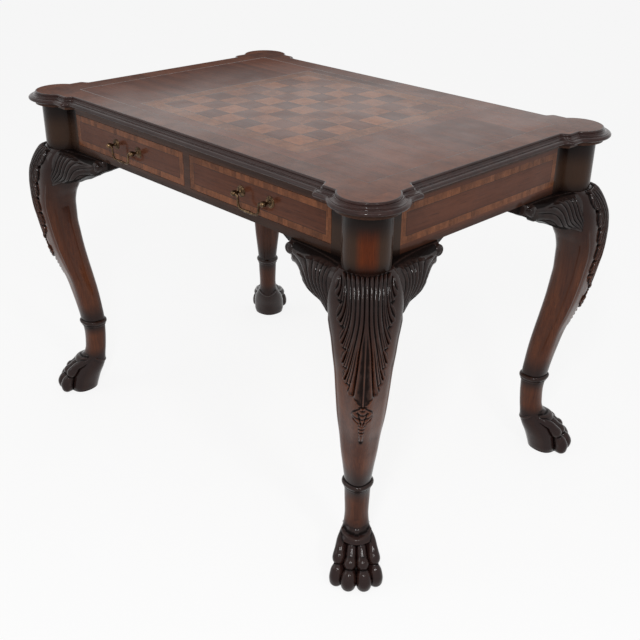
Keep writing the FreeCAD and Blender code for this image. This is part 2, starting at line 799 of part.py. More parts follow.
def ear(leg_shape):
    """The knee bracket on the front of the front right leg: a bellied body that tapers
    along the apron, two scrolls at its tip and a plain end behind them."""
    reach = float(size.ear_reach)
    drop = float(size.ear_drop)
    projection = float(size.ear_projection)
    face = -float(case_y)
    back = face + float(size.apron_thickness)

    def place(along, down, y):
        return Vector(float(column_x) - along * reach, y, float(case_bottom) - down * drop)

    sections = []
    for along, top_out, belly_out, low_out, low_down, back_down in EAR_SHARES:
        top_edge = place(along, 0, face - top_out * projection)
        low_edge = place(along, low_down, face - low_out * projection)
        belly = [
            place(along, down * low_down, face - out * belly_out * projection)
            for out, down in EAR_BELLY_SHARES
        ]
        front = Part.BezierCurve()
        front.setPoles([top_edge] + belly + [low_edge])
        low_back, top_back = place(along, back_down, back), place(along, 0, back)
        edges = [front.toShape(), Part.makeLine(low_edge, low_back)]
        edges += [Part.makeLine(low_back, top_back), Part.makeLine(top_back, top_edge)]
        sections.append(Part.Wire(edges))
    body = Part.makeLoft(sections, True, False)
    scrolls = []
    for along, down, radius, out in EAR_SCROLL_SHARES:
        length = back - face + out * projection
        roll = Part.makeCylinder(radius * drop, length, place(along, down, back), Vector(0, -1, 0))
        rim = [edge for edge in roll.Edges if edge.Closed and edge.CenterOfMass.y < face]
        scrolls.append(roll.makeFillet(radius * drop / 2, rim))
    front_of_tail = back - float(size.apron_thickness) * (1 - EAR_TAIL_BACK_SHARE)
    outline = [place(along, down, back) for along, down in EAR_TAIL_SHARES]
    tail = Part.Face(Part.makePolygon(outline + outline[:1])).extrude(Vector(0, front_of_tail - back, 0))
    whole = body.fuse(scrolls + [tail]).cut(leg_shape)
    return max(whole.Solids, key=lambda solid: solid.Volume)


def legs(socket):
    """Four legs, their knee brackets and the sockets for the dowels."""
    leg_shape = leg()
    blank = feature("leg_blank", leg_shape)
    carved = cut("leg", blank, [socket])
    names = ("leg_front_right", "leg_front_left", "leg_back_right", "leg_back_left")
    for obj, label in zip(at_four_corners("leg", carved), names):
        keep(obj, label)

    front_ear = ear(leg_shape)
    # The bracket on the side is the front one turned over the leg's diagonal.
    side_ear = front_ear.mirror(corner_point(0, 0, 0), Vector(1, 1, 0).normalize())
    pair = feature("ear_pair", Part.makeCompound([front_ear, side_ear]))
    names = ("front_right", "front_left", "back_right", "back_left")
    for obj, corner in zip(at_four_corners("knee_bracket", pair), names):
        keep(obj, "knee_brackets_" + corner)


# Drawers

handle_x = (post_x + size.divider_width / 2) / 2
handle_z = (drawer_floor + drawer_top) / 2
front_face = -case_y
post_offset = size.handle_spacing / 2
pivot_y = front_face - size.handle_standoff
TOWARDS_FRONT = Rotation(Vector(1, 0, 0), 90)


def drawer():
    """The right drawer's box: front, sides, back, bottom and the inlay of its front."""
    front_x = (size.divider_width / 2 + size.drawer_gap, post_x - size.drawer_gap)
    front_z = (drawer_floor + size.drawer_gap, drawer_top - size.drawer_gap)
    inner_face = front_face + size.drawer_front_thickness
    back_face = front_face + size.drawer_depth
    board = block("drawer_front_board", front_x, (front_face, inner_face), front_z)
    rings = panel_rings("drawer_panel", front_x, front_z, front_face, -1, 1)

    side_low = drawer_floor + size.running_gap
    side_z = (side_low, side_low + size.drawer_side_height)
    side_y = (inner_face - size.drawer_side_tail, back_face)
    left_x = (front_x[0], front_x[0] + size.drawer_side_thickness)
    right_x = (front_x[1] - size.drawer_side_thickness, front_x[1])
    bottom_low = side_low + size.drawer_bottom_rise
    bottom = block(
        "drawer_bottom_board",
        (left_x[1] - size.drawer_groove_depth, right_x[0] + size.drawer_groove_depth),
        (inner_face - size.drawer_groove_depth, back_face),
        (bottom_low, bottom_low + size.drawer_bottom_thickness),
    )
    sides = []
    for name, span in (("left", left_x), ("right", right_x)):
        side = block(f"drawer_{name}_side", span, side_y, side_z)
        sides.append(cut(f"{name}_side", side, [bottom]))
    back = block(
        "drawer_back_board",
        (left_x[1], right_x[0]),
        (back_face - size.drawer_side_thickness, back_face),
        (bottom_low + size.drawer_bottom_thickness, side_z[1] - size.drawer_back_gap),
    )
    bolts = [handle_bolt_hole(f"bolt_hole{n}", side) for n, side in enumerate((-1, 1))]
    front = cut("drawer_front", board, rings + [bottom] + sides + bolts)
    return {
        "front": front,
        "sides": group("drawer_side_pair", sides),
        "back": back,
        "bottom": bottom,
        "crossband": rings[0],
        "stringing": rings[1],
    }


def handle_bolt_hole(name, side):
    """The hole through the drawer front for one post of its handle."""
    return rod(
        name,
        size.handle_bolt_radius + size.glue_line,
        size.drawer_front_thickness + size.overrun * 2,
        (handle_x + post_offset * side, front_face + size.drawer_front_thickness + size.overrun, handle_z),
        TOWARDS_FRONT,
    )


def facing_front(profile, base, ball=None):
    """A turned piece whose axis looks out of the drawer front, with a ball on its end."""
    points = [Vector(0, radius, along) for along, radius in profile]
    edges = [Part.makeLine(*pair) for pair in zip(points, points[1:])]
    if ball:
        centre, radius = ball
        start = points[-1]
        rise = math.atan2(start.y, start.z - centre) / 2
        middle = Vector(0, radius * math.sin(rise), centre + radius * math.cos(rise))
        points.append(Vector(0, 0, centre + radius))
        edges.append(Part.Arc(start, middle, points[-1]).toShape())
    edges.append(Part.makeLine(points[-1], points[0]))
    solid = Part.Face(Part.Wire(edges)).revolve(Vector(), Vector(0, 0, 1), 360)
    solid.Placement = Placement(base, TOWARDS_FRONT)
    return solid


def handle():
    """Rosettes, posts, nuts and the hanging bail of the right drawer's handle."""
    face = float(front_face)
    height = float(handle_z)
    thick = float(size.rosette_thickness)
    wide = float(size.rosette_radius)
    neck = float(size.handle_post_radius)
    head = float(size.handle_head_radius)
    bolt = float(size.handle_bolt_radius)
    inner = float(size.drawer_front_thickness)
    nut_thick = float(size.handle_nut_thickness)
    nut_half = float(size.handle_nut_side) / 2
    standoff = float(size.handle_standoff)
    glue = float(size.glue_line)
    pin = float(size.bail_pin_radius)
    bore = pin + float(size.bail_pin_clearance)
    rosettes, posts, nuts = [], [], []
    for side in (-1, 1):
        x = float(handle_x) + side * float(post_offset)
        base = Vector(x, face, height)
        hole = bolt + glue
        rosette_profile = [(thick * along, wide * out) for along, out in ROSETTE_SHARES]
        rosettes.append(facing_front([(0, hole)] + rosette_profile + [(thick, hole)], base))
        post_profile = (
            (-inner - nut_thick - float(size.handle_bolt_end), 0),
            (-inner - nut_thick - float(size.handle_bolt_end), bolt),
            (thick, bolt),
            (thick, neck),
            (standoff * NECK_SHARES[0], neck * NECK_SHARES[1]),
            (standoff - math.sqrt(head**2 - neck**2), neck),
        )
        post = facing_front(post_profile, base, (standoff, head))
        reach = head + float(size.overrun)
        across = Vector(x - reach, float(pivot_y), height)
        eye = Part.makeCylinder(bore, 2 * reach, across, Vector(1, 0, 0))
        posts.append(post.cut(eye))
        nut_corner = Vector(x - nut_half, face + inner, height - nut_half)
        nut = Part.makeBox(2 * nut_half, nut_thick, 2 * nut_half, nut_corner)
        through = inner + nut_thick + float(size.overrun)
        nuts.append(nut.cut(Part.makeCylinder(hole, through, base, Vector(0, 1, 0))))
    return {
        "rosettes": feature("rosette_pair", Part.makeCompound(rosettes)),
        "posts": feature("post_pair", Part.makeCompound(posts)),
        "nuts": feature("nut_pair", Part.makeCompound(nuts)),
        "bail": feature("bail_wire", bail()),
    }


def bail():
    """The drop bail: pins in the posts, swan-neck shoulders and a straight grip."""
    y = float(pivot_y)
    height = float(handle_z)
    middle = float(handle_x)
    head = float(size.handle_head_radius)
    gap = float(size.bail_shoulder_gap)
    wire = float(size.bail_radius)
    pin = float(size.bail_pin_radius)
    half = float(post_offset)
    inner_face = half - head - gap
    shoulder = half - float(size.bail_shoulder)
    grip = float(size.bail_bottom_width) / 2
    low = height - float(size.bail_drop)
    shapes = []
    for side in (-1, 1):
        pin_start = Vector(middle + side * (half + head + gap), y, height)
        pin_length = 2 * (head + gap) + wire
        shapes.append(Part.makeCylinder(pin, pin_length, pin_start, Vector(-side, 0, 0)))
    route = [
        Vector(middle - inner_face, y, height),
        Vector(middle - shoulder + wire, y, height),
        Vector(middle - grip - wire, y, low),
        Vector(middle + grip + wire, y, low),
        Vector(middle + shoulder - wire, y, height),
        Vector(middle + inner_face, y, height),
    ]
    bend = float(size.bail_bend_radius)
    path = rounded_path(route, (bend * SHOULDER_BEND_SHARE, bend, bend, bend * SHOULDER_BEND_SHARE))
    section = Part.Wire(Part.makeCircle(wire, route[0], Vector(1, 0, 0)))
    shapes.append(path.makePipeShell([section], True, False))
    return shapes[2].fuse(shapes[:2])


def rounded_path(points, radii):
    """Straight runs joined by arcs that touch them."""
    edges = []
    start = points[0]
    for before, corner, after, radius in zip(points, points[1:], points[2:], radii):
        back = (before - corner).normalize()
        ahead = (after - corner).normalize()
        half_angle = back.getAngle(ahead) / 2
        reach = radius / math.tan(half_angle)
        first = corner + back * reach
        last = corner + ahead * reach
        bisector = (back + ahead).normalize()
        middle = corner + bisector * (radius / math.sin(half_angle) - radius)
        edges.append(Part.makeLine(start, first))
        edges.append(Part.Arc(first, middle, last).toShape())
        start = last
    edges.append(Part.makeLine(start, points[-1]))
    return Part.Wire(edges)


def drawers():
    """The right drawer with its handle, and the left one as its mirror image."""
    box_parts = drawer()
    handle_parts = handle()
    for kind, parts in (("drawer", box_parts), ("handle", handle_parts)):
        for part, obj in parts.items():
            keep(obj, f"{kind}_right_{part}")
            keep(mirror(f"left_{kind}_{part}", obj, ACROSS), f"{kind}_left_{part}")


def write_parts():
    """Check every object, then write one file for each sub-part."""
    doc.recompute()
    for obj in doc.Objects:
        if "Invalid" in obj.State or "Error" in obj.State:
            raise RuntimeError(f"{obj.Name} did not build: {obj.State}")
    os.makedirs("parts", exist_ok=True)
    for obj in nodes:
        shape = obj.Shape
        if shape.isNull() or not shape.isValid():
            raise RuntimeError(f"{obj.Label} has no valid shape")
        if not shape.Solids:
            raise RuntimeError(f"{obj.Label} has no solid")
        shape.exportStep(os.path.join("parts", obj.Label + ".step"))
    print(f"{len(nodes)} sub-parts written")


top()
legs(case())
drawers()
write_parts()
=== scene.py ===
# %% [markdown]
# # An inlaid game table
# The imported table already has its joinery: a moulded top, a case with two drawers, and
# four legs. This script dresses it. Carved pieces are modelled again as finer meshes,
# and every surface gets a polish, a grain or a metal that is worked out from noise.

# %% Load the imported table
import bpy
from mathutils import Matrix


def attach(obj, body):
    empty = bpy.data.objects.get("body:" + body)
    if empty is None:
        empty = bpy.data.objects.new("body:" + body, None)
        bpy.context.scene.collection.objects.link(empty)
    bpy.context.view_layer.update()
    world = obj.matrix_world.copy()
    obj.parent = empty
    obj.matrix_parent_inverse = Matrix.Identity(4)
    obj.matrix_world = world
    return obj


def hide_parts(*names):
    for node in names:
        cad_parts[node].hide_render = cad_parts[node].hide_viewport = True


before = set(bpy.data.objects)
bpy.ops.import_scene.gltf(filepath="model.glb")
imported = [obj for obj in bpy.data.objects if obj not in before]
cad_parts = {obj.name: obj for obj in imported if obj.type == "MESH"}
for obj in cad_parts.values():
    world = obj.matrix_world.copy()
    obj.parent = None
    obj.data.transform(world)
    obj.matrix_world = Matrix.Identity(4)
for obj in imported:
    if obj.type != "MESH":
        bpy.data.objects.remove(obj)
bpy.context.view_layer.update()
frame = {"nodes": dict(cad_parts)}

import math

import bpy
import numpy as np
from mathutils import Matrix, Vector

nodes = frame["nodes"]

# %% [markdown]
# ## Camera
# The photograph was taken from a standing person's eye, looking down on the near corner.
# The place, the turn and the lens below put each corner of the top where it is in the
# photograph. A small roll is kept, because the picture was not quite level.

# %% The photographer's place
VIEW_AZIMUTH = math.radians(45.3481)
VIEW_HEIGHT = math.radians(26.8442)
VIEW_ROLL = math.radians(0.7754)
VIEW_PLACE = Vector((1.4180, -1.3450, 1.2458))
FOCAL_MM = 52.41

back = Vector((
    math.sin(VIEW_AZIMUTH) * math.cos(VIEW_HEIGHT),
    -math.cos(VIEW_AZIMUTH) * math.cos(VIEW_HEIGHT),
    math.sin(VIEW_HEIGHT),
))
sideways = Vector((math.cos(VIEW_AZIMUTH), math.sin(VIEW_AZIMUTH), 0))
upward = back.cross(sideways)
right = sideways * math.cos(VIEW_ROLL) + upward * math.sin(VIEW_ROLL)
up = upward * math.cos(VIEW_ROLL) - sideways * math.sin(VIEW_ROLL)
camera = bpy.data.objects.new("camera", bpy.data.cameras.new("camera"))
camera.data.sensor_width = 36
camera.data.lens = FOCAL_MM
camera.matrix_world = Matrix.Translation(VIEW_PLACE) @ Matrix((right, up, back)).transposed().to_4x4()
bpy.context.scene.collection.objects.link(camera)
bpy.context.scene.camera = camera
print("camera", round((VIEW_PLACE - Vector((0, 0, 0.4))).length, 2), "m from the table")

# %% [markdown]
# ## Meshes from rows of points
# Carved wood is one skin that swells and sinks. Such a skin is easiest to shape as rows of
# points, like the ribs of a boat, with a quad between each four neighbours. Moving the
# points along their normals then carves the skin, and the quads stay clean.

# %% A skin through rows of points
MM = 0.001
POLISHED = math.radians(38)


def turned_over(faces):
    """The same faces, looking the other way."""
    return [face[::-1] for face in faces]


def quads(rows, cap_ends=True, flip=False, hollow=None):
    """Points, faces and hollowness, with any marks for painted shade, of a skin through closed rows, of
    shape (rows, columns, 3).
    """
    rows = np.asarray(rows, float)
    count, width, _ = rows.shape
    index = np.arange(count * width).reshape(count, width)
    after = np.roll(index, -1, axis=1)
    faces = np.stack([index[:-1], after[:-1], after[1:], index[1:]], axis=-1).reshape(-1, 4).tolist()
    if cap_ends:
        faces += [index[0][::-1].tolist(), index[-1].tolist()]
    hollow = np.zeros(count * width) if hollow is None else hollow.reshape(-1)
    return rows.reshape(-1, 3), turned_over(faces) if flip else faces, hollow


def piece(name, parts, sharp=POLISHED):
    """One mesh object from the points and faces of its parts."""
    points, faces, hollows_and_shade, start = [], [], [], 0
    for part_points, part_faces, part_hollow_and_shade in parts:
        points.append(part_points)
        hollows_and_shade.append(part_hollow_and_shade)
        faces += [[start + n for n in face] for face in part_faces]
        start += len(part_points)
    mesh = bpy.data.meshes.new(name)
    mesh.from_pydata(np.concatenate(points).tolist(), [], faces)
    # The attribute keeps each point's hollowness and the places marked for painted shade.
    mesh.attributes.new("hollow", "FLOAT", "POINT").data.foreach_set("value", np.concatenate(hollows_and_shade))
    mesh.validate()
    mesh.shade_smooth()
    mesh.set_sharp_from_angle(angle=sharp)
    obj = bpy.data.objects.new(name, mesh)
    bpy.context.scene.collection.objects.link(obj)
    return obj


print("edges sharper than", round(math.degrees(POLISHED)), "degrees stay crisp")

# %% [markdown]
# Four measures serve the carving. Normals tell which way the skin faces, and hollowness tells
# how far a point lies below its neighbours. An eased step starts and ends softly, as a gouge
# cut does, and a smooth curve through a table's rows fills in what lies between them.

# %% Measures of a skin and smooth curves
def normals_of(rows):
    """Unit normals of a skin whose rows are closed, pointing away from the rows' middles."""
    along = np.gradient(rows, axis=0)
    across = (np.roll(rows, -1, axis=1) - np.roll(rows, 1, axis=1)) / 2
    normal = np.cross(across, along)
    outwards = rows - rows.mean(axis=1, keepdims=True)
    if (normal * outwards).sum() < 0:
        normal = -normal
    return normal / np.maximum(np.linalg.norm(normal, axis=2, keepdims=True), 1e-9)


def hollow_of(rows, reach=5, depth=0.7):
    """How far each point lies below its neighbours' mean: above 0 in furrows, below 0 on crests."""
    mean = rows.copy()
    for _ in range(reach):
        mean = (np.roll(mean, 1, axis=1) + np.roll(mean, -1, axis=1) + 2 * mean) / 4
        mean[1:-1] = (mean[:-2] + mean[2:] + 2 * mean[1:-1]) / 4
    return np.clip(((mean - rows) * normals_of(rows)).sum(axis=2) / (depth * MM), -1, 1)


def eased(x, low, high):
    """0 below low, 1 above high, and a smooth step between."""
    share = np.clip((x - low) / (high - low), 0, 1)
    return share * share * (3 - 2 * share)


def through(x, places, values):
    """A smooth curve through values at rising places, without overshoot."""
    places, values = np.asarray(places, float), np.asarray(values, float)
    steps = np.diff(places)
    slopes = np.diff(values) / steps
    tangent = np.zeros_like(values)
    same = slopes[:-1] * slopes[1:] > 0
    tangent[1:-1][same] = 2 * slopes[:-1][same] * slopes[1:][same] / (slopes[:-1] + slopes[1:])[same]
    tangent[0], tangent[-1] = slopes[0], slopes[-1]
    x = np.clip(x, places[0], places[-1])
    k = np.clip(np.searchsorted(places, x) - 1, 0, len(steps) - 1)
    t = (x - places[k]) / steps[k]
    return (
        (2 * t**3 - 3 * t**2 + 1) * values[k] + (t**3 - 2 * t**2 + t) * steps[k] * tangent[k]
        + (3 * t**2 - 2 * t**3) * values[k + 1] + (t**3 - t**2) * steps[k] * tangent[k + 1]
    )


def table_at(x, places, columns):
    """Each column of a table as a smooth curve, read at x."""
    return [through(x, places, column) for column in np.asarray(columns, float).T]


def pole_shares(t):
    """The shares of four poles in a curve from the first pole to the last."""
    return (1 - t) ** 3, 3 * t * (1 - t) ** 2, 3 * t**2 * (1 - t), t**3


def full_turn(count):
    """Angles once round a circle."""
    return np.linspace(0, 2 * math.pi, count, endpoint=False)


print("half way up a step:", float(eased(0.5, 0, 1)))

# %% [markdown]
# The table is the same at all four corners, and its two drawers mirror each other. Only the
# front right corner and the right drawer are drawn, and mirroring makes the others. A mirror
# turns faces inside out, so they are turned over again.

# %% Mirror images
CORNERS = {
    "front_right": (1, 1), "front_left": (-1, 1),
    "back_right": (1, -1), "back_left": (-1, -1),
}


def mirrored_parts(parts, sides):
    """The parts of the front right corner or right drawer, mirrored by the signs of two sides."""
    inside_out = sides[0] * sides[1] < 0
    return [
        (points * np.array([*sides, 1.0]), turned_over(faces) if inside_out else faces, hollow)
        for points, faces, hollow in parts
    ]


print("corners:", list(CORNERS))


# %% [markdown]
# ## The leg's bare shape
# A cabriole leg is sawn from a square blank, so its section is a square that stands on one
# corner, and the four corners are then rounded. The table gives, in millimetres, where the
# outer, inner and side corners lie at each height, out from the middle of the column above.

# %% Stations of the leg
COLUMN = (0.469, 0.3025)
LEG_TOP = 636.5
LEG_TABLE = np.array([
    # height, outer, inner, aside
    (636.5, 46.4, -34.6, 45.5), (628.2, 61.9, -34.6, 52.8), (614.9, 71.9, -33.7, 58.2),
    (598.3, 80.5, -32.8, 61.9), (582.4, 86.5, -30.9, 62.8), (563.9, 89.6, -27.3, 61.9),
    (544.2, 91.0, -20.9, 59.2), (523.2, 91.0, -11.8, 55.5), (495.2, 89.6, -7.3, 52.3),
    (458.3, 82.8, -7.3, 48.2), (423.3, 75.5, -10.9, 46.0), (388.3, 66.4, -15.5, 43.7),
    (346.9, 51.4, -22.8, 41.0), (305.5, 35.5, -30.9, 37.3), (264.1, 25.0, -38.2, 33.7),
    (226.0, 16.8, -43.2, 29.1), (191.0, 10.9, -46.4, 25.5), (152.8, 5.9, -45.5, 24.1),
    (117.8, 7.7, -42.8, 22.8), (95.5, 15.0, -40.0, 24.6), (76.4, 28.0, -38.0, 31.4),
    (60.5, 46.0, -33.0, 38.2), (35.0, 58.0, -22.0, 42.0), (12.7, 63.0, -14.6, 42.0),
    (0.0, 60.0, -10.9, 39.1),
])[::-1]
ROUNDING, ANKLE_ROUNDING = 0.36, 0.5


def leg_place(out, aside, height):
    """Points in metres from millimetres out along the diagonal, aside of it and above the floor."""
    half_turn = math.sqrt(0.5)
    x = COLUMN[0] + (out + aside) * half_turn * MM
    y = -COLUMN[1] - (out - aside) * half_turn * MM
    return np.stack([x, y, height * MM + 0 * x], axis=-1)


def section_radius(out, side, rounding, angles):
    """Distance from the middle to the rounded square's edge, at each angle."""
    swell = 1 / (1 - rounding / 2)
    corners = np.array([(out, 0), (0, side), (-out, 0), (0, -side)]) * swell
    points = []
    for n in range(4):
        before, corner, after = corners[n - 1], corners[n], corners[(n + 1) % 4]
        first, last = corner + (before - corner) * rounding, corner + (after - corner) * rounding
        t = np.linspace(0, 1, 17)[:, None]
        points.append((1 - t) ** 2 * first + 2 * t * (1 - t) * corner + t**2 * last)
        t = np.linspace(0, 1, 12)[1:-1, None]
        points.append(last + (after + (corner - after) * rounding - last) * t)
    points = np.concatenate(points)
    turn = np.arctan2(points[:, 1], points[:, 0])
    order = np.argsort(turn)
    radius = np.hypot(points[:, 0], points[:, 1])
    return np.interp(angles, turn[order], radius[order], period=2 * math.pi)


print("leg:", len(LEG_TABLE), "stations over", LEG_TOP, "mm")

# %% [markdown]
# ## The paw
# The carver leaves a ball of wood at the foot and rounds four toes out of it. Each toe is a
# row of balls strung on a curve: a tendon, a knuckle, a waist and a pad. Seen from the middle
# of the foot, the skin lies at the furthest of them, and a soft maximum leaves a clean
# furrow between neighbours, as a gouge does. A cuff of hair lies behind the toes and a spur
# at the heel, and between the ankle and the toes the instep swells forward.

# %% Toes, cuff and heel spur as strings of balls
INNER_TOE = [
    # out, aside, height and radius of each ball, in millimetres
    (29, 8.4, 76, 7.8), (36, 9.2, 69.5, 8.8), (42, 9.8, 63, 9.4), (48, 10.6, 56.5, 10.0),
    (54.5, 11.6, 50, 12.2), (58.5, 12.2, 42.5, 7), (61.5, 13, 36.5, 9.5), (66.5, 13.8, 28.5, 13.6),
    (69.6, 14.6, 19, 15), (69, 14.6, 13.5, 14.4),
]
OUTER_TOE = [
    (-13, 18, 96, 4.5), (-1, 22.5, 85, 6.8), (15, 27.5, 76.5, 9), (28, 30, 70, 9.6),
    (35, 31.4, 61.5, 11.2), (41.5, 32.6, 54, 12.6), (46.5, 34.2, 45, 7), (54, 36, 31, 12.8),
    (57.5, 37, 20, 13.8), (57, 37, 13.5, 13.4),
]
CUFF = [
    (2, 27, 91, 2.0), (12, 22.5, 87, 5.0), (20, 16, 84, 7.2), (26, 8, 82, 8.8), (28, 0, 81.5, 9.2),
    (26, -8, 82, 8.8), (20, -16, 84, 7.2), (12, -22.5, 87, 5.0), (2, -27, 91, 2.0),
]
SPUR = [
    (-22, 24, 88, 2.4), (-31, 14, 81, 3.4), (-35.5, 0, 77, 4.2), (-31, -14, 81, 3.4), (-22, -24, 88, 2.4),
]
FURROW = 0.7


def string_of_balls(points, count=60):
    """Balls (out, aside, height, radius) spread evenly over a smooth string of points."""
    where = np.linspace(0, len(points) - 1, count)
    return np.stack(table_at(where, np.arange(len(points)), points), axis=1)


def reach_of(balls, middle, height, angles):
    """How far a string of balls reaches from the middle at each angle, in one level plane."""
    level = balls[:, 3] ** 2 - (height - balls[:, 2]) ** 2
    cut = level > 0
    if not cut.any():
        return np.zeros_like(angles)
    out, aside, level = balls[cut, 0] - middle, balls[cut, 1], level[cut]
    along = np.outer(np.cos(angles), out) + np.outer(np.sin(angles), aside)
    inside = along**2 - (out**2 + aside**2 - level)
    reach = np.where(inside > 0, along + np.sqrt(np.maximum(inside, 0)), 0)
    return reach.max(axis=1)


def mirrored(points):
    """The same toe on the other side of the foot."""
    return [(out, -aside, height, radius) for out, aside, height, radius in points]


strings = (INNER_TOE, mirrored(INNER_TOE), OUTER_TOE, mirrored(OUTER_TOE), CUFF, SPUR)
paw_strings = [string_of_balls(points) for points in strings]
print("each paw:", len(paw_strings), "strings of balls")

# %% [markdown]
# ## Rows of the leg
# The rows lie close together at the knee, the collar and the paw, where there is carving,
# and far apart on the plain shaft. The same goes for the columns: most are on the outer
# side, which carries the leaf and the toes.

# %% Where the leg's points lie
COLLAR = np.array([
    # height above the floor, then how far the collar stands out
    (194.5, 0.0), (193.4, 2.6), (191.0, 4.4), (188.0, 5.0), (185.0, 4.4), (182.6, 2.6),
    (181.6, 1.2), (180.6, 1.9), (179.4, 2.1), (178.0, 1.6), (176.6, 0.0),
])[::-1]
ROW_EDGES = (636.5, 600, 330, 200, 172, 116, 0)
ROW_STEPS = (0.7, 1.3, 4.0, 0.9, 3.5, 1.15)
PAW_TOP = 125
INSTEP_SWELL = 14


def spread(edges, steps):
    """Heights from the top down, with a step of its own between each two edges."""
    rows = []
    for high, low, step in zip(edges, edges[1:], steps):
        rows += np.linspace(high, low, max(2, round((high - low) / step)), endpoint=False).tolist()
    return np.array(rows + [edges[-1]])


def graded(*runs):
    """Rising places from runs of (start, end, count), of which neighbours share their ends."""
    return np.concatenate([np.linspace(*run)[min(n, 1):] for n, run in enumerate(runs)])


def instep(height, angles):
    """The swelling of the instep, in front and just above the toes."""
    level_share = eased(100 - height, 0, 18) * eased(height, 74, 81)
    return INSTEP_SWELL * level_share * eased(np.cos(angles), 0.1, 0.85)


heights = spread(ROW_EDGES, ROW_STEPS)
half = graded((0, 76, 85), (76, 100, 16), (100, 180, 14))
angles = np.radians(np.concatenate([half, -half[1:-1][::-1]]))
outer, inner, aside = table_at(heights, LEG_TABLE[:, 0], LEG_TABLE[:, 1:])
middle = (outer + inner) / 2
rounding = ANKLE_ROUNDING + (ROUNDING - ANKLE_ROUNDING) * eased(heights, 205, 330)
base = np.stack([
    section_radius(out, side, share, angles)
    for out, side, share in zip((outer - inner) / 2, aside, rounding)
])
collar = np.interp(heights, COLLAR[:, 0], COLLAR[:, 1], left=0, right=0)
for row in np.flatnonzero(heights < PAW_TOP):
    reaches = [base[row] + instep(heights[row], angles)]
    reaches += [reach_of(balls, middle[row], heights[row], angles) for balls in paw_strings]
    stacked = np.stack(reaches)
    top = stacked.max(axis=0)
    base[row] = top + FURROW * np.log(np.exp((stacked - top) / FURROW).sum(axis=0))
leg_out = middle[:, None] + (base + collar[:, None]) * np.cos(angles)
leg_aside = (base + collar[:, None]) * np.sin(angles)
leg_rows = leg_place(leg_out, leg_aside, heights[:, None])
print("leg skin:", leg_rows.shape[0], "rows of", leg_rows.shape[1])

# %% [markdown]
# ## The leaf on the knee
# An acanthus leaf lies over the knee with its tip down the shin. Its veins start side by
# side along the top, run down, and peel off to the edges one after the other. One rule
# serves them all: how far a vein lies from the midrib at each place, from its number alone.

# %% Where the veins of the leaf run
LEAF_EDGE = np.array([
    # down the ridge, then from the midrib to the leaf's edge
    (0, 47), (30, 50), (56, 49), (97, 44), (135, 39), (172, 37), (206, 32), (225, 24), (240, 14),
    (252, 5),
], float)
LEAF_END = 252
NOTCHES = [12, 56, 97, 135, 172, 206, 234, 256]
VEIN_ENDS = [262, 234, 206, 172, 135, 97, 56, 12]
VEIN_NUMBERS = [0, 0.5, 1.5, 2.5, 3.5, 4.5, 5.5, 6.5]
VEIN_GAP, CHANNEL = 7.4, 5.0
VEIN_SQUEEZE, PEEL_OFF = 0.42, 2.4


def ribbed(count):
    """Round ribs with sharp valleys between: 1 on each whole number, 0 half way."""
    return np.abs(np.cos(math.pi * count)) ** 0.7


def vein_of(down, aside):
    """The number of the vein through each point, and how far apart veins are there, in mm."""
    number = np.linspace(0, 6.5, 261)
    end = through(number, VEIN_NUMBERS, VEIN_ENDS)
    edge = through(end, LEAF_EDGE[:, 0], LEAF_EDGE[:, 1])

    def away_at(place):
        start = VEIN_GAP * number * (1 - VEIN_SQUEEZE * min(place / 130, 1))
        start += CHANNEL * float(eased(place, 70, 150)) * np.minimum(number / 0.5, 1)
        return start + (edge - start) * np.minimum(place / end, 1.4) ** PEEL_OFF + number * 0.01

    veins, gaps = np.zeros_like(aside), np.zeros_like(aside)
    for row, place in enumerate(down[:, 0]):
        away = away_at(place)
        slant = away_at(place + 1) - away
        spacing = np.gradient(away) / np.gradient(number) / np.sqrt(1 + slant**2)
        veins[row] = np.interp(np.abs(aside[row]), away, number)
        gaps[row] = np.interp(np.abs(aside[row]), away, spacing)
    return veins, gaps


print("whole veins on each side of the midrib:", int(VEIN_NUMBERS[-1]))

# %% [markdown]
# The relief follows from the veins. Sharp valleys part them, fine ribs lie on the wide ones,
# the rim is rolled, the midrib lies in a channel, and where two lobes meet, an eye is drilled.

# %% How far the leaf stands out of the knee
EYES = NOTCHES[1:-2]
LEAF_STANDS, CHANNEL_STANDS, EYE_DEPTH = 3.2, 1.4, 5.5
BOLD_RIB, FINE_RIB, MIDRIB, VALLEY, RIM = 3.0, 2.8, 1.3, 3.2, 1.5


def leaf_relief(down, aside):
    """Relief in mm, from the way down the knee's ridge and the way aside of it."""
    away = np.abs(aside)
    phase = np.interp(down, NOTCHES, np.arange(len(NOTCHES))) % 1
    lobe = np.sin(math.pi * phase**1.5) ** 0.6
    edge = through(down, LEAF_EDGE[:, 0], LEAF_EDGE[:, 1]) * (0.82 + 0.20 * lobe)
    inside = edge - away
    veins, gaps = vein_of(down, aside)
    bold, fine = ribbed(veins), ribbed(3 * veins)
    relief = LEAF_STANDS + np.clip(0.40 * gaps, 0, BOLD_RIB) * eased(15 - gaps, 0, 6) * (bold - 0.75)
    relief += np.clip(0.20 * gaps, 0, FINE_RIB) * eased(gaps, 6, 10) * eased(away, 6, 12) * (fine - 0.7)
    relief -= VALLEY * np.exp(-(((veins % 1 - 0.5) / 0.09) ** 2)) * eased(gaps, 7, 13)
    relief += RIM * np.exp(-(((inside - 3.2) / 2.6) ** 2))
    channel = np.exp(-((away / 7.0) ** 4)) * eased(down, 85, 150)
    relief += channel * (CHANNEL_STANDS - relief)
    relief += MIDRIB * np.exp(-((away / 1.3) ** 2)) * eased(down, 90, 150)
    top_edge = 1 + 4 * (away / 49) ** 2 + (1 - bold) * 6
    relief += 2.0 * bold * np.exp(-(((down - top_edge - 9) / 7) ** 2))
    relief *= eased(inside, 0, 2.4) * eased(down - top_edge, 0, 5) * eased(LEAF_END - down, 0, 6)
    for notch in EYES:
        eye = np.interp(notch, LEAF_EDGE[:, 0], LEAF_EDGE[:, 1]) * 0.84
        relief -= EYE_DEPTH * np.exp(-(((down - notch) / 3.6) ** 2) - (((away - eye) / 4.2) ** 2))
    return relief


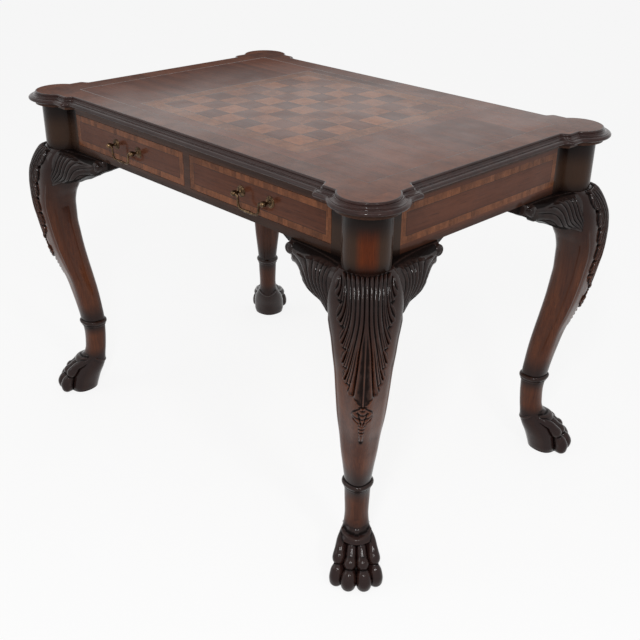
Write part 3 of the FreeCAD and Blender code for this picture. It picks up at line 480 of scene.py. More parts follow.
print("eyes drilled on each side of the leaf:", len(EYES))

# %% [markdown]
# Below the leaf hangs a small husk with three petals, and a string of beads that taper
# away down the shin. They are drawn as bumps whose edges fall off over a gouge's width. The
# leaf and the husk are stained darker than the leg, and a bead runs down the leg's corners.

# %% The husk and its beads
HUSK_EDGE = np.array([(250, 3), (257, 8), (266, 17), (275, 19), (284, 15), (291, 9), (297, 3)], float)
PETAL_ANGLE = math.radians(21)
BEADS = [(304, 6.0), (314, 5.4), (324, 4.8), (333, 4.2), (341, 3.6)]
ARRIS_BEAD = 1.7
STAIN = 0.46


def husk_relief(down, aside):
    """Relief in mm of the husk and the beads below the leaf."""
    away = np.abs(aside)
    edge = np.interp(down, HUSK_EDGE[:, 0], HUSK_EDGE[:, 1], left=0, right=0)
    petals = ribbed(np.arctan2(aside, 300 - down) / PETAL_ANGLE)
    steps = ribbed((down - 250) / 11 + away**2 / 260)
    relief = (3.2 + 3.0 * (petals - 0.5) + 1.6 * (steps - 0.6)) * eased(edge - away, 0, 2.0)
    for place, size in BEADS:
        round_off = 1 - ((down - place) / 5.2) ** 2 - (away / size) ** 2
        relief = np.maximum(relief, 3.0 * np.sqrt(np.maximum(round_off, 0)))
    return relief


ridge = np.hypot(np.diff(outer), np.diff(heights))
down = np.concatenate([[0], np.cumsum(ridge)])[:, None] + 0 * leg_aside
on_front = (np.abs(angles) < math.radians(88))[None, :] & (heights > 280)[:, None]
relief = np.where(on_front, leaf_relief(down, leg_aside) + husk_relief(down, leg_aside), 0)
stained = STAIN * eased(np.abs(relief), 0.4, 1.4)
arris = (np.abs(angles) - math.radians(85))[None, :] * base / 2.6
arris_run = eased(heights, 300, 380) * eased(566 - heights, 0, 14)
relief += ARRIS_BEAD * np.exp(-(arris**2)) * arris_run[:, None]
leg_rows = leg_rows + normals_of(leg_rows) * relief[:, :, None] * MM
print("carving stands", round(float(relief.max()), 1), "mm high at most")

# %% [markdown]
# ## Four legs
# The legs mirror one another, so the front right one is carved and the other three are its
# mirror images. Each takes the place of the plain leg in the imported model, which is hidden.

# %% Build the legs
# The furrows' hollowness, with the stain added, later paints them near black as old wax and painted
# shade.
leg_parts = [quads(leg_rows, flip=True, hollow=hollow_of(leg_rows) + stained)]
legs = {}
for corner, sides in CORNERS.items():
    leg = piece(f"carved_leg_{corner}", mirrored_parts(leg_parts, sides))
    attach(leg, "table")
    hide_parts(f"leg_{corner}")
    legs[corner] = leg
print("faces in a leg:", len(legs["front_right"].data.polygons))

# %% [markdown]
# ## Knee brackets
# The brackets, or ears, carry the knee's curve over to the aprons. Each is a bellied
# block that thins along the apron, with ribs that fan out from its low inner corner, and it
# ends in two small scrolls. Behind the scrolls a plain end runs on under the rail. It is
# built as sections square to the apron.

# %% Sections of a bracket
APRON_FACE = (0.478, 0.3115)
EAR_TABLE = np.array([
    # along the apron, then out: top edge, belly, lower edge, then down: lower edge, back edge
    (16, 24, 44, 46, 84, 90), (27, 23, 46, 50.5, 78, 86), (40, 20, 45, 46.5, 72, 80),
    (56, 16, 43, 41, 67.5, 73.5), (72, 13, 41, 39.5, 64, 68), (86, 11, 38.5, 38, 59.5, 61.5),
    (100, 9, 35, 34, 54, 55), (112, 8, 31, 29, 48.5, 49.5), (124, 7, 26, 23, 41, 43.5),
    (136, 7, 21.5, 18, 36, 38), (150, 7, 18, 14, 33, 32.5), (163, 6, 14, 10, 27, 27),
    (170, 2, 7, 3, 23, 23.5), (176, -9, -8, -8, 20, 21), (192, -10, -10, -10, 13, 14),
    (214, -12, -12, -12, 3, 3.5),
], float)
EAR_BACK = -22.0
HINGE = (10.0, 100.0)
RIB_ANGLE = 6.6


def bracket_place(along, down, out):
    """Points of the front bracket of the front right leg, in metres from millimetres."""
    x = COLUMN[0] - along * MM
    y = -APRON_FACE[1] - out * MM
    return np.stack([x, y, (LEG_TOP - down) * MM], axis=-1)


along = graded((16, 60, 34), (60, 166, 92), (166, 178, 13), (178, 214, 13))
columns = [column[:, None] for column in table_at(along, EAR_TABLE[:, 0], EAR_TABLE[:, 1:])]
edge_top, belly, edge_out, edge_down, back_down = columns
FRONT_POINTS, UNDER_POINTS, BACK_POINTS = 84, 16, 7
t = np.linspace(0, 1, FRONT_POINTS)[None, :]
b0, b1, b2, b3 = pole_shares(t)
front_out = b0 * edge_top + b1 * belly * 1.16 + b2 * belly * 1.12 + b3 * edge_out
front_down = b1 * 0.10 * edge_down + b2 * 0.62 * edge_down + b3 * edge_down
t = np.linspace(0, 1, UNDER_POINTS)[None, 1:]
under_out = edge_out + (EAR_BACK - edge_out) * t
under_down = edge_down + (back_down - edge_down) * t - 2.5 * np.sin(math.pi * t)
t = np.linspace(0, 1, BACK_POINTS)[None, 1:]
rise_out, rise_down = EAR_BACK + 0 * edge_down * t, back_down * (1 - t)
t = np.linspace(0, 1, BACK_POINTS)[None, 1:-1]
roof_out, roof_down = EAR_BACK + (edge_top - EAR_BACK) * t, 0 * edge_down * t
ear_out = np.concatenate([front_out, under_out, rise_out, roof_out], axis=1)
ear_down = np.concatenate([front_down, under_down, rise_down, roof_down], axis=1)
ear_along = along[:, None] + 0 * ear_out
ear_rows = bracket_place(ear_along, ear_down, ear_out)
print("bracket skin:", ear_rows.shape[0], "sections of", ear_rows.shape[1])

# %% [markdown]
# The ribs of a bracket all point at one hinge, below the place where it meets the leg. They
# sway a little on their way up, start below a hollow under the rail, and a bead runs along
# the lower edge into the bead on the leg's corner. The hollow under the rail and the
# underside are marked for painted shade, so the finish paints them near black and dull.

# %% Carve the ribs
RIB_SWAY, RIB_HEIGHT, LOWER_BEAD = 3.2, 3.4, 2.2
from_hinge = (ear_along - HINGE[0], HINGE[1] - ear_down)
fan_reach = np.hypot(*from_hinge)
fan_angle = np.degrees(np.arctan2(*from_hinge)) + RIB_SWAY * np.sin(fan_reach / 15)
rib = ribbed(fan_angle / RIB_ANGLE)
rib_gap = fan_reach * math.radians(RIB_ANGLE)
rib_end = 3 + 7 * eased(ear_along, 70, 140)
place = np.arange(ear_out.shape[1]) / FRONT_POINTS
is_front = (eased(place, 0, 0.03) * eased(1 - place, 0.02, 0.12))[None, :]
ribs_on = eased(fan_angle, 15, 21) * eased(ear_down - rib_end, 0, 6) * eased(158 - ear_along, 0, 14)
ear_relief = is_front * ribs_on * (1.8 + np.clip(0.42 * rib_gap, 0, RIB_HEIGHT) * (rib - 0.6))
bead = np.exp(-(((place - 0.965) / 0.028) ** 2))[None, :]
ear_relief += LOWER_BEAD * bead * eased(118 - ear_along, 0, 14)
ear_rows = ear_rows + normals_of(ear_rows) * ear_relief[:, :, None] * MM
# Painted shade: the shelf under the rail and the bracket's lower edge and underside are marked fully
# hollow, to be painted near black.
shaded_shelf = eased(rib_end + 1 - ear_down, 0, 5) * is_front
shaded_shelf *= eased(156 - ear_along, 0, 8) * eased(ear_along, 24, 34)
shaded_lower_edge = eased(place, 0.90, 0.97)[None, :] * eased(ear_along, 55, 80)
shaded_underside = np.maximum((place > 1.01)[None, :], shaded_lower_edge)
ear_hollow_and_shade = np.maximum(hollow_of(ear_rows), np.maximum(shaded_shelf, shaded_underside))
print("ribs stand", round(float(ear_relief.max()), 1), "mm high at most")

# %% [markdown]
# A small volute is a button with a raised ring and an eye, cut with a round gouge, and a
# profile spun round an axis gives the same shape. Two of them end each bracket. The bracket
# on the side apron is the same carving again, turned over the leg's diagonal.

# %% Scrolls and pairs of brackets
SCROLL_FACE = [
    # above the scroll's height, then share of its radius
    (-5.5, 1.0), (-3.0, 0.95), (-1.2, 0.82), (-0.6, 0.66),
    (-1.8, 0.54), (-1.8, 0.46), (-0.4, 0.34), (0.3, 0.12),
]


def scroll(centre_along, centre_down, low_out, high_out, radius):
    """A small volute: a turned button with a raised ring and eye, its axis square to the apron."""
    foot = [(low_out, 0.30), (low_out, 0.94), (low_out + 1, 1.0)]
    profile = np.array(foot + [(high_out + rise, share) for rise, share in SCROLL_FACE])
    turn = full_turn(32)
    out = profile[:, :1] + 0 * turn
    size = profile[:, 1:] * radius
    along, down = centre_along + size * np.cos(turn), centre_down + size * np.sin(turn)
    return quads(bracket_place(along, down, out))


ear_parts = [
    quads(ear_rows, hollow=ear_hollow_and_shade),
    scroll(159.5, 12.4, -6, 19, 11.2), scroll(149, 28.5, 0, 17, 7.4),
]


def over_diagonal(part):
    """The bracket on the side apron is the front one turned over the leg's diagonal."""
    points, faces, hollow = part
    x, y, z = points[:, 0] - COLUMN[0], points[:, 1] + COLUMN[1], points[:, 2]
    turned = np.stack([COLUMN[0] - y, -COLUMN[1] - x, z], axis=1)
    return turned, turned_over(faces), hollow


side_parts = [over_diagonal(part) for part in ear_parts]
brackets = {}
for corner, sides in CORNERS.items():
    pair = piece(f"carved_brackets_{corner}", mirrored_parts(ear_parts + side_parts, sides))
    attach(pair, "table")
    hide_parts(f"knee_brackets_{corner}")
    brackets[corner] = pair
print("faces in a pair of brackets:", len(brackets["front_right"].data.polygons))

# %% [markdown]
# ## The moulded edge
# The edge of the top is run with moulding planes: a bead, a step, a cove and a thumb, one
# below the other. The outline turns sharply at each cusp beside a turret, so the moulding
# is mitred there. The same outline is drawn further out for each point of the profile.

# %% The outline of the top, at any distance out
HALF_TOP = (0.483, 0.3165)
TURRET = 0.051
SHOULDER_REACH, SHOULDER_RUN, SHOULDER_STEP = 0.098, 0.015, 0.0155
COLUMN_INSET = 0.014


def corner_outline(offset):
    """Points of the front right corner's outline, from the long side round to the short one."""
    step, radius = SHOULDER_STEP + offset, TURRET + offset
    stand = SHOULDER_STEP + COLUMN_INSET + offset
    cusp = math.atan2(stand, -math.sqrt(radius**2 - stand**2))
    reach = SHOULDER_REACH + offset / 2
    start = HALF_TOP[0] - reach
    bend = SHOULDER_RUN / 2
    t = np.linspace(0, 1, 13)[:, None]
    poles = np.array([
        (start, HALF_TOP[1] + offset), (start + bend, HALF_TOP[1] + offset),
        (start + bend, HALF_TOP[1] + step), (start + SHOULDER_RUN, HALF_TOP[1] + step),
    ])
    curve = sum(share * pole for share, pole in zip(pole_shares(t), poles))
    turn = np.linspace(cusp, math.pi / 4, 17)[:, None]
    arc = np.array([COLUMN]) + radius * np.concatenate([np.cos(turn), np.sin(turn)], axis=1)
    half = np.concatenate([curve, (curve[-1:] + arc[:1]) / 2, arc])
    other = half[:-1][::-1] - np.array([COLUMN])
    other = other[:, ::-1] + np.array([COLUMN])
    return np.concatenate([half, other])


def top_outline(offset):
    """The whole outline as a closed row of points, seen from above it runs round once."""
    quarter = corner_outline(offset)
    rows = []
    for side_x, side_y, turned in ((1, -1, False), (1, 1, True), (-1, 1, False), (-1, -1, True)):
        part = quarter * np.array([side_x, side_y])
        rows.append(part[::-1] if turned else part)
    return np.concatenate(rows)


print("points round the top:", len(top_outline(0.0)))

# %% [markdown]
# The profile is a row of points out from the edge and down from the top. Each point runs
# round the outline at its own distance, and neighbours are joined by quads. An angle limit
# keeps the steps of the profile crisp and its rounds smooth.

# %% Run the moulding round the outline
TOP_HEIGHT = 0.762
CRISP_STEPS = math.radians(40)
MOULDING_PROFILE = [
    # outwards, downwards, in millimetres
    (0.0, 0.0), (0.9, 0.0), (2.0, 0.4), (2.8, 1.2), (3.2, 2.4), (3.2, 3.6), (3.0, 4.4), (4.6, 4.5),
    (5.2, 4.8), (5.2, 6.0), (5.5, 7.0), (6.3, 7.9), (7.6, 8.5), (9.4, 8.8), (11.6, 8.9), (11.9, 9.3),
    (11.9, 9.9), (13.4, 10.0), (15.4, 10.6), (17.1, 11.8), (18.1, 13.2), (18.4, 14.6), (18.0, 16.2),
    (16.8, 17.6), (15.0, 18.3), (13.0, 18.5), (12.6, 19.4), (4.0, 19.5), (0.0, 19.5),
]
rows = [
    np.insert(top_outline(out * MM), 2, TOP_HEIGHT - low * MM, axis=1)
    for out, low in MOULDING_PROFILE
]
moulding = piece("edge_moulding", [quads(rows + rows[:1], cap_ends=False, flip=True)], sharp=CRISP_STEPS)
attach(moulding, "table")
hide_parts("top_edge_moulding")
print("moulding:", len(MOULDING_PROFILE), "points run round", len(rows[0]), "places")

# %% [markdown]
# ## Handles
# Each drawer has a cast brass swan-neck handle: two turned rosettes, two posts with round
# heads, and a bail that hangs between them. Turned parts are profiles spun round an axis,
# and the bail is a round wire of changing thickness along a smooth curve.

# %% Turned parts and wires
DRAWER_FACE = -0.3115
HANDLE = (0.2029, 0.68715)
STANDOFF = 18.0
POST_APART = 40.0


def spun(profile, centre_x, around=40):
    """A turned part of (forward, radius) points in millimetres, its axis square to the drawer."""
    turn = full_turn(around)
    profile = np.array(profile)
    forward = profile[:, :1] + 0 * turn
    radius = profile[:, 1:]
    x = HANDLE[0] + (centre_x + radius * np.cos(turn)) * MM
    z = HANDLE[1] + radius * np.sin(turn) * MM
    return quads(np.stack([x, DRAWER_FACE - forward * MM, z], axis=-1))


def wire(path, radii, around=16):
    """A round wire along points in metres, with a thickness for each point."""
    path, radii = np.asarray(path, float), np.asarray(radii, float)
    along = np.gradient(path, axis=0)
    along /= np.linalg.norm(along, axis=1, keepdims=True)
    side = np.cross(along, np.array([0.0, 1.0, 0.0]))
    side /= np.linalg.norm(side, axis=1, keepdims=True)
    other = np.cross(along, side)
    turn = full_turn(around)[None, :, None]
    ring = side[:, None] * np.cos(turn) + other[:, None] * np.sin(turn)
    return quads(path[:, None] + ring * radii[:, None, None] * MM)


print("posts stand", 2 * POST_APART, "mm apart")

# %% [markdown]
# A rosette is a shallow dish with a raised ring, pressed against the wood. The post comes out
# of its middle, narrows to a neck, and swells to the round head that the bail's end turns in.

# %% Rosettes and posts
ROSETTE = [
    # forward of the drawer front, then radius, in millimetres
    (0.0, 10.9), (0.5, 11.0), (1.1, 10.6), (1.4, 9.9), (1.2, 9.1), (1.1, 8.4), (1.5, 7.8),
    (2.1, 7.3), (2.4, 6.6), (2.3, 5.8), (2.1, 5.2), (2.5, 4.8), (2.6, 4.2), (2.6, 3.3),
]
POST = [
    (-2.0, 1.9), (2.0, 2.0), (2.3, 3.9), (3.2, 4.1), (4.0, 3.4), (5.2, 2.6), (7.5, 2.35),
    (9.6, 2.7), (11.0, 3.3), (11.9, 4.4), (13.4, 5.05), (15.4, 5.35), (18.0, 5.4), (20.4, 4.9),
    (22.0, 3.9), (22.8, 2.6), (23.3, 1.9), (23.6, 2.1), (24.0, 1.7), (24.2, 0.6),
]
rosette_parts = [spun(ROSETTE, side * POST_APART) for side in (-1, 1)]
post_parts = [spun(POST, side * POST_APART) for side in (-1, 1)]
print("points in a rosette:", len(rosette_parts[0][0]), "and in a post:", len(post_parts[0][0]))

# %% [markdown]
# The bail is drawn as one half, from its pin in the post over the swan neck to the middle of
# the grip, and the other half mirrors it. Each point has a thickness, so that the wire can
# swell at the pin's shoulder and at the grip.

# %% The bail
half_bail = np.array([
    # across and down from the pivot's middle, in millimetres, and thickness
    (46.6, 0.0, 0.4), (46.4, 0.0, 1.2), (45.9, 0.0, 1.75), (45.2, 0.0, 1.95), (44.2, 0.0, 1.7),
    (40.0, 0.0, 1.6), (35.6, 0.0, 1.7), (33.6, 0.1, 2.1), (31.2, 0.9, 2.2), (29.2, 3.0, 2.1),
    (28.4, 6.4, 2.0), (28.4, 10.0, 2.0), (28.2, 14.0, 2.1), (27.4, 18.2, 2.2), (25.2, 21.8, 2.2),
    (21.6, 24.1, 2.2), (17.0, 25.0, 2.2), (11.0, 25.0, 2.5), (5.0, 25.0, 2.9), (0.0, 25.0, 3.05),
])
BAIL_POINTS = 110
knots = np.arange(len(half_bail))
between = np.linspace(0, len(half_bail) - 1, BAIL_POINTS)
shape = np.stack(table_at(between, knots, half_bail), axis=1)
whole = np.concatenate([shape, (shape[:-1] * np.array([-1, 1, 1]))[::-1]])
bail_path = np.stack([
    HANDLE[0] + whole[:, 0] * MM,
    np.full(len(whole), DRAWER_FACE - STANDOFF * MM),
    HANDLE[1] - whole[:, 1] * MM,
], axis=1)
bail_parts = [wire(bail_path, whole[:, 2])]
handles = []
for side, sign in (("right", 1), ("left", -1)):
    for what, parts, body in (("rosettes", rosette_parts, "drawer"), ("posts", post_parts, "drawer"),
                              ("bail", bail_parts, "bail")):
        made = piece(f"cast_{what}_{side}", mirrored_parts(parts, (sign, 1)))
        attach(made, f"{body}_{side}")
        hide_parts(f"handle_{side}_{what}")
        handles.append(made)
print("handle pieces:", [made.name for made in handles])

# %% [markdown]
# ## Words for shader nodes
# Every finish below is a small network of shader nodes. Two helpers make a network easy to
# build: one fills a socket, which takes a number, a colour or a link, and one adds a node
# and fills its first sockets in order.

# %% Nodes and their sockets
def fill(socket, value):
    """Link a socket to another node's output, or give it a plain value."""
    if value is None:
        return
    if isinstance(value, bpy.types.NodeSocket):
        socket.id_data.links.new(value, socket)
    elif isinstance(value, tuple) and len(value) == 3 and socket.type == "RGBA":
        socket.default_value = (*value, 1)
    else:
        socket.default_value = value


def fill_all(sockets, values):
    """Fill the sockets that are named, each with its value."""
    for name, value in values.items():
        fill(sockets[name], value)


def node(tree, kind, *values, **settings):
    """Add a node, give its first sockets the values in order, and set its own settings."""
    made = tree.nodes.new("ShaderNode" + kind)
    for name, value in settings.items():
        setattr(made, name, value)
    for n, value in enumerate(values):
        fill(made.inputs[n], value)
    return made


print("node groups before the finishes:", len(bpy.data.node_groups))

# %% [markdown]
# Masks are worked out with sums, and a range can be stretched softly. A band is 1 between two
# heights, which is how a shade is kept to one part of a leg. Noise is the source of all grain.

# %% Sums, blends and noise
def tree_of(values):
    """The node tree of the first link among the values."""
    return next(value.id_data for value in values if isinstance(value, bpy.types.NodeSocket))


def maths(operation, *values):
    return node(tree_of(values), "Math", *values, operation=operation).outputs[0]


def plus(*values):
    return maths("ADD", *values)


def minus(*values):
    return maths("SUBTRACT", *values)


def times(*values):
    return maths("MULTIPLY", *values)


def vectors(operation, *values):
    return node(tree_of(values), "VectorMath", *values, operation=operation).outputs[0]


def enlarged(vector, factor):
    """A vector times a number."""
    made = node(vector.id_data, "VectorMath", vector, operation="SCALE")
    fill(made.inputs["Scale"], factor)
    return made.outputs[0]


def blend(mask, low, high):
    """The low colour where the mask is 0, and the high one where it is 1."""
    mix = node(mask.id_data, "Mix", data_type="RGBA")
    for n, value in ((0, mask), (6, low), (7, high)):
        fill(mix.inputs[n], value)
    return mix.outputs[2]


def stretched(value, low, high, to_low=0.0, to_high=1.0):
    """The value's range low to high, spread over another range and held there."""
    ends = (low, high, to_low, to_high)
    made = node(value.id_data, "MapRange", value, *ends, interpolation_type="SMOOTHSTEP")
    return made.outputs[0]


def band(value, rise, fall):
    """1 between two ranges, with a smooth rise through the first and a fall through the second."""
    return times(stretched(value, *rise), stretched(value, *fall, 1.0, 0.0))


def noise(place, scale, detail=3.0, roughness=0.55):
    made = node(place.id_data, "TexNoise")
    fill_all(made.inputs, {"Vector": place, "Scale": scale, "Detail": detail, "Roughness": roughness})
    return made.outputs


print("materials before the finishes:", len(bpy.data.materials))

# %% [markdown]
# A group is a recipe that several finishes share, like a jar of stain. It is made once with
# named inputs and outputs, and each finish then uses it with its own values.

# %% Groups
def new_group(name, inputs, outputs, vector_output=None):
    """An empty node group, and the nodes at its two ends. Inputs without a value are vectors."""
    tree = bpy.data.node_groups.new(name, "ShaderNodeTree")
    for socket, start in inputs.items():
        kind = "NodeSocketVector" if start is None else "NodeSocketFloat"
        made = tree.interface.new_socket(socket, in_out="INPUT", socket_type=kind)
        if start is not None:
            made.default_value = start
    for socket in outputs:
        kind = "NodeSocketVector" if socket == vector_output else "NodeSocketFloat"
        tree.interface.new_socket(socket, in_out="OUTPUT", socket_type=kind)
    return tree, tree.nodes.new("NodeGroupInput").outputs, tree.nodes.new("NodeGroupOutput").inputs


def use(group, **values):
    """Place a group beside the links it takes, with its own values, and give back its outputs."""
    made = node(tree_of(values.values()), "Group", node_tree=group)
    fill_all(made.inputs, values)
    return made.outputs


print("a group takes numbers and vectors, and gives masks")

# %% [markdown]
# ## Grain
# Wood is a bundle of long fibres. Noise that is drawn out along the grain gives fine streaks,
# a coarser layer of it gives ribbons of lighter and darker wood, and thin short marks are the
# open pores. The group counts X as the way the grain runs, so each material turns its place first.

# %% The grain group
HALF = (0.5, 0.5, 0.5)
grain, took, gives = new_group(
    "wood grain", dict(Place=None, Length=0.08, Width=0.003, Sway=0.004), ["Streaks", "Ribbons", "Pores"])
swing = vectors("SUBTRACT", noise(took["Place"], 7.0, 2.0)["Color"], HALF)
swayed = vectors("ADD", took["Place"], enlarged(swing, took["Sway"]))
size = node(grain, "CombineXYZ", took["Length"], took["Width"], took["Width"]).outputs[0]
drawn = vectors("DIVIDE", swayed, size)
short = vectors("MULTIPLY", drawn, (4.0, 2.2, 2.2))
fill_all(gives, {
    "Streaks": stretched(noise(drawn, 1.0, 5.0, 0.65)["Fac"], 0.3, 0.7),
    "Ribbons": stretched(noise(drawn, 0.16, 3.0, 0.5)["Fac"], 0.32, 0.68),
    "Pores": stretched(noise(short, 1.0, 1.0, 0.4)["Fac"], 0.62, 0.74),
})
print("grain group:", [socket.name for socket in gives if socket.name])

# %% [markdown]
# ## Mottle
# Burr and figured veneers have no straight grain. Their fibres curl round each other, so the
# sheet is cloudy, with small dark eyes. One noise bends another, and the eyes are the middles
# of scattered cells, of which only some are kept.

# %% The mottle group
SELDOM = 0.62
mottle, took, gives = new_group(
    "mottled figure", dict(Place=None, Size=0.01), ["Clouds", "Curls", "Eyes"])
near = enlarged(took["Place"], maths("DIVIDE", 1.0, took["Size"]))
bend = vectors("MULTIPLY", noise(near, 0.6, 3.0)["Color"], (2.4, 2.4, 2.4))
bent = vectors("ADD", near, bend)
cells = node(mottle, "TexVoronoi", bent, None, 1.1).outputs
pick = node(mottle, "SeparateColor", cells["Color"]).outputs[0]
eye = stretched(cells["Distance"], 0.05, 0.2, 1.0, 0.0)
fill_all(gives, {
    "Clouds": stretched(noise(bent, 0.55, 3.0, 0.5)["Fac"], 0.33, 0.67),
    "Curls": stretched(noise(bent, 2.4, 4.0, 0.6)["Fac"], 0.35, 0.65),
    "Eyes": times(eye, maths("GREATER_THAN", pick, SELDOM)),
})
print("mottle group:", [socket.name for socket in gives if socket.name])

# %% [markdown]
# ## Pieces of veneer
# Bands and squares are laid from separate pieces of veneer. The place is cut into boxes of a
# given size, and each box gets a random shade and a random shift, so that the figure never
# runs on from one piece to the next. A thin dark line is left where two pieces meet.

# %% The veneer pieces group
pieces, took, gives = new_group(
    "veneer pieces", dict(Place=None, Start=None, Sizes=None), ["Shade", "Moved", "Joint"], "Moved")
counted = vectors("SUBTRACT", took["Place"], took["Start"])
counted = vectors("DIVIDE", counted, took["Sizes"])
chance = node(pieces, "TexWhiteNoise", vectors("FLOOR", counted)).outputs
shift = vectors("MULTIPLY", chance["Color"], (3.0, 5.0, 7.0))
within = vectors("SUBTRACT", vectors("FRACTION", counted), HALF)
edge = node(pieces, "SeparateXYZ", vectors("ABSOLUTE", within)).outputs
fill_all(gives, {
    "Shade": chance["Value"], "Moved": vectors("ADD", took["Place"], shift),
    "Joint": stretched(maths("MAXIMUM", edge[0], edge[1]), 0.475, 0.497),
})
print("veneer group:", [socket.name for socket in gives if socket.name])

# %% [markdown]
# ## Years of polish
# Old polish is never even. Hands and dusters leave broad duller clouds and fine rubbed
# streaks. The group gives both, and each finish decides how much they roughen its gloss.

# %% The polish group
polish, took, gives = new_group("years of polish", dict(Place=None, Size=0.12), ["Clouds", "Rubbing"])
near = enlarged(took["Place"], maths("DIVIDE", 1.0, took["Size"]))
long_marks = vectors("MULTIPLY", near, (9.0, 40.0, 40.0))
fill_all(gives, {
    "Clouds": stretched(noise(near, 1.0, 4.0, 0.6)["Fac"], 0.3, 0.7),
    "Rubbing": stretched(noise(long_marks, 1.0, 3.0, 0.6)["Fac"], 0.4, 0.75),
})
print("polish group:", [socket.name for socket in gives if socket.name])

# %% [markdown]
# ## Carving in use, and painted shade
# In carved wood, wax and dust stay in the furrows, while the crests are rubbed until lighter
# wood shows. The meshes know how hollow each of their points is, and the group turns that
# into two masks, broken up with noise so that neither follows the carving slavishly. The dark
# mask stands for old wax and also for painted shade in the furrows and the marked places.

# %% The carving group
carving, took, gives = new_group("carving in use", dict(Place=None, Hollow=0.0), ["Dirt", "Rub"])
uneven = minus(noise(took["Place"], 90.0, 3.0)["Fac"], 0.5)
level = plus(took["Hollow"], times(uneven, 0.5))
fill_all(gives, {
    # The dark mask paints old wax and shade together.
    "Dirt": stretched(level, 0.0, 0.55), "Rub": stretched(level, -0.75, -0.15, 1.0, 0.0),
})
print("groups:", [group.name for group in bpy.data.node_groups])

# %% [markdown]
# ## One recipe for polished wood
# All polished woods here share one recipe: two tones blended by streaks and ribbons, pores
# that darken and dent the wood, and a coat of polish on top, which is glossier where it is
# least handled. The pieces differ in tones, in the size and direction of their grain, and
# in the shading the finisher added, with painted shade and dimmed gloss on some of them.

# %% Polished wood
TURNS = {"x": (0, 0, 0), "y": (0, 0, math.pi / 2), "z": (0, math.pi / 2, 0)}
DEEP_TONE, PORE_SHARE, SHADE_SPREAD, EYE_SHARE = 0.35, 0.45, 0.55, 0.5


def new_material(name):
    """A material with an empty node tree."""
    material = bpy.data.materials.new(name)
    material.use_nodes = True
    material.node_tree.nodes.clear()
    return material, material.node_tree


def mixed(first, second, share):
    """A share of the second value and the rest of the first."""
    return plus(times(first, 1 - share), times(second, share))


def dented(strength, depth, height):
    """The way a surface faces when a height dents it."""
    bump = node(height.id_data, "Bump")
    fill_all(bump.inputs, {"Strength": strength, "Distance": depth, "Height": height})
    return bump.outputs[0]


def surface(tree, values):
    """The shader that ends every finish, with its named sockets filled."""
    shader = node(tree, "BsdfPrincipled")
    fill_all(shader.inputs, values)
    node(tree, "OutputMaterial", shader.outputs[0])


print("grain runs along", list(TURNS))

# %% [markdown]
# The recipe itself: cut the pieces, turn the grain, blend the tones, darken pores and joints,
# add the finisher's shading and any painted shade, and lay the coat of polish over it all.

# %% Wood, step by step
def wood(name, dark, light, along="x", length=0.09, width=0.0028, sway=0.004, figure=0.0,
         figure_size=0.012, gloss=1.0, coat_ior=1.17, specular=0.05, roughness=0.34, coat_roughness=0.12,
         dents=0.0006, cut=None, joint_dark=0.5, shading=None, wear_and_shade=None):
    """A polished wood. Cut gives the start and size of its pieces, shading adds the finisher's
    tones and any painted shade, and the last argument dulls the gloss where polish is worn,
    where shade is painted and where reflections are painted dimmer. Lengths are in metres."""
    material, tree = new_material(name)
    place = node(tree, "TexCoord").outputs["Object"]
    moved, shade, joint = place, None, None
    if cut:
        laid = use(pieces, Place=place, Start=cut[0], Sizes=cut[1])
        moved, shade, joint = laid["Moved"], laid["Shade"], laid["Joint"]
    turned = node(tree, "Mapping", moved, None, TURNS[along]).outputs[0]
    lines = use(grain, Place=turned, Length=length, Width=width, Sway=sway)
    tone = mixed(lines["Streaks"], lines["Ribbons"], 0.5)
    if figure:
        curly = use(mottle, Place=moved, Size=figure_size)
        cloud = mixed(curly["Clouds"], curly["Curls"], 0.4)
        cloud = minus(cloud, times(curly["Eyes"], EYE_SHARE))
        tone = mixed(tone, cloud, figure)
    if shade:
        tone = plus(tone, times(minus(shade, 0.5), SHADE_SPREAD))
    deep = tuple(DEEP_TONE * value for value in dark)
    colour = blend(times(lines["Pores"], PORE_SHARE), blend(tone, dark, light), deep)
    if joint:
        colour = blend(times(joint, joint_dark), colour, deep)
    if shading:
        colour = shading(place, colour)
    handled = use(polish, Place=place)
    height = plus(times(lines["Streaks"], 0.4), times(lines["Pores"], -1.0))
    shine = stretched(handled["Clouds"], 0.0, 1.0, gloss, 0.8 * gloss)
    dull = plus(times(handled["Clouds"], 0.10), times(handled["Rubbing"], 0.05))
    surface(tree, {
        "Base Color": colour, "Roughness": plus(dull, roughness), "Specular IOR Level": specular,
        "Coat Weight": times(shine, wear_and_shade(place)) if wear_and_shade else shine,
        "Coat IOR": coat_ior, "Coat Roughness": coat_roughness, "Normal": dented(0.35, dents, height),
    })
    return material


print("pores cover", PORE_SHARE, "of the tone below them")

# %% [markdown]
# ## The finisher's shading
# On furniture of this kind the finisher toned the edges down with dark polish, a shading
# known as a burst: the middle of a column or a shaft stays warm, and its ends go nearly
# black. At the top of a column the near black is also painted shade under the moulding.
# Each such shade is a mask worked out from the place on the table.

# %% Bursts for columns and legs
# Near black for the burst at the columns' ends, and painted shade under the moulding at their tops.
NEAR_BLACK_AND_SHADE = (0.009, 0.0045, 0.0035)


def parts_of(place):
    """X, Y and Z of a place."""
    return node(place.id_data, "SeparateXYZ", place).outputs[:3]


def column_burst_and_shade(place, colour):
    """Warm down the middle of each round column, darker at its sides, near black at its ends; at the top
    that near black is also painted shade under the moulding.
    """
    x, y, z = parts_of(place)
    outward = plus(minus(maths("ABSOLUTE", x), COLUMN[0]), minus(maths("ABSOLUTE", y), COLUMN[1]))
    sides = stretched(outward, 0.051, 0.0603)
    uneven = stretched(noise(place, 40.0, 3.0)["Fac"], 0.2, 0.6, 0.7, 1.0)
    colour = blend(times(sides, uneven), (0.034, 0.017, 0.010), colour)
    # Painted shade: the near black at the column's top stands for the shade under the moulding.
    return blend(band(z, (0.634, 0.660), (0.682, 0.722)), NEAR_BLACK_AND_SHADE, colour)


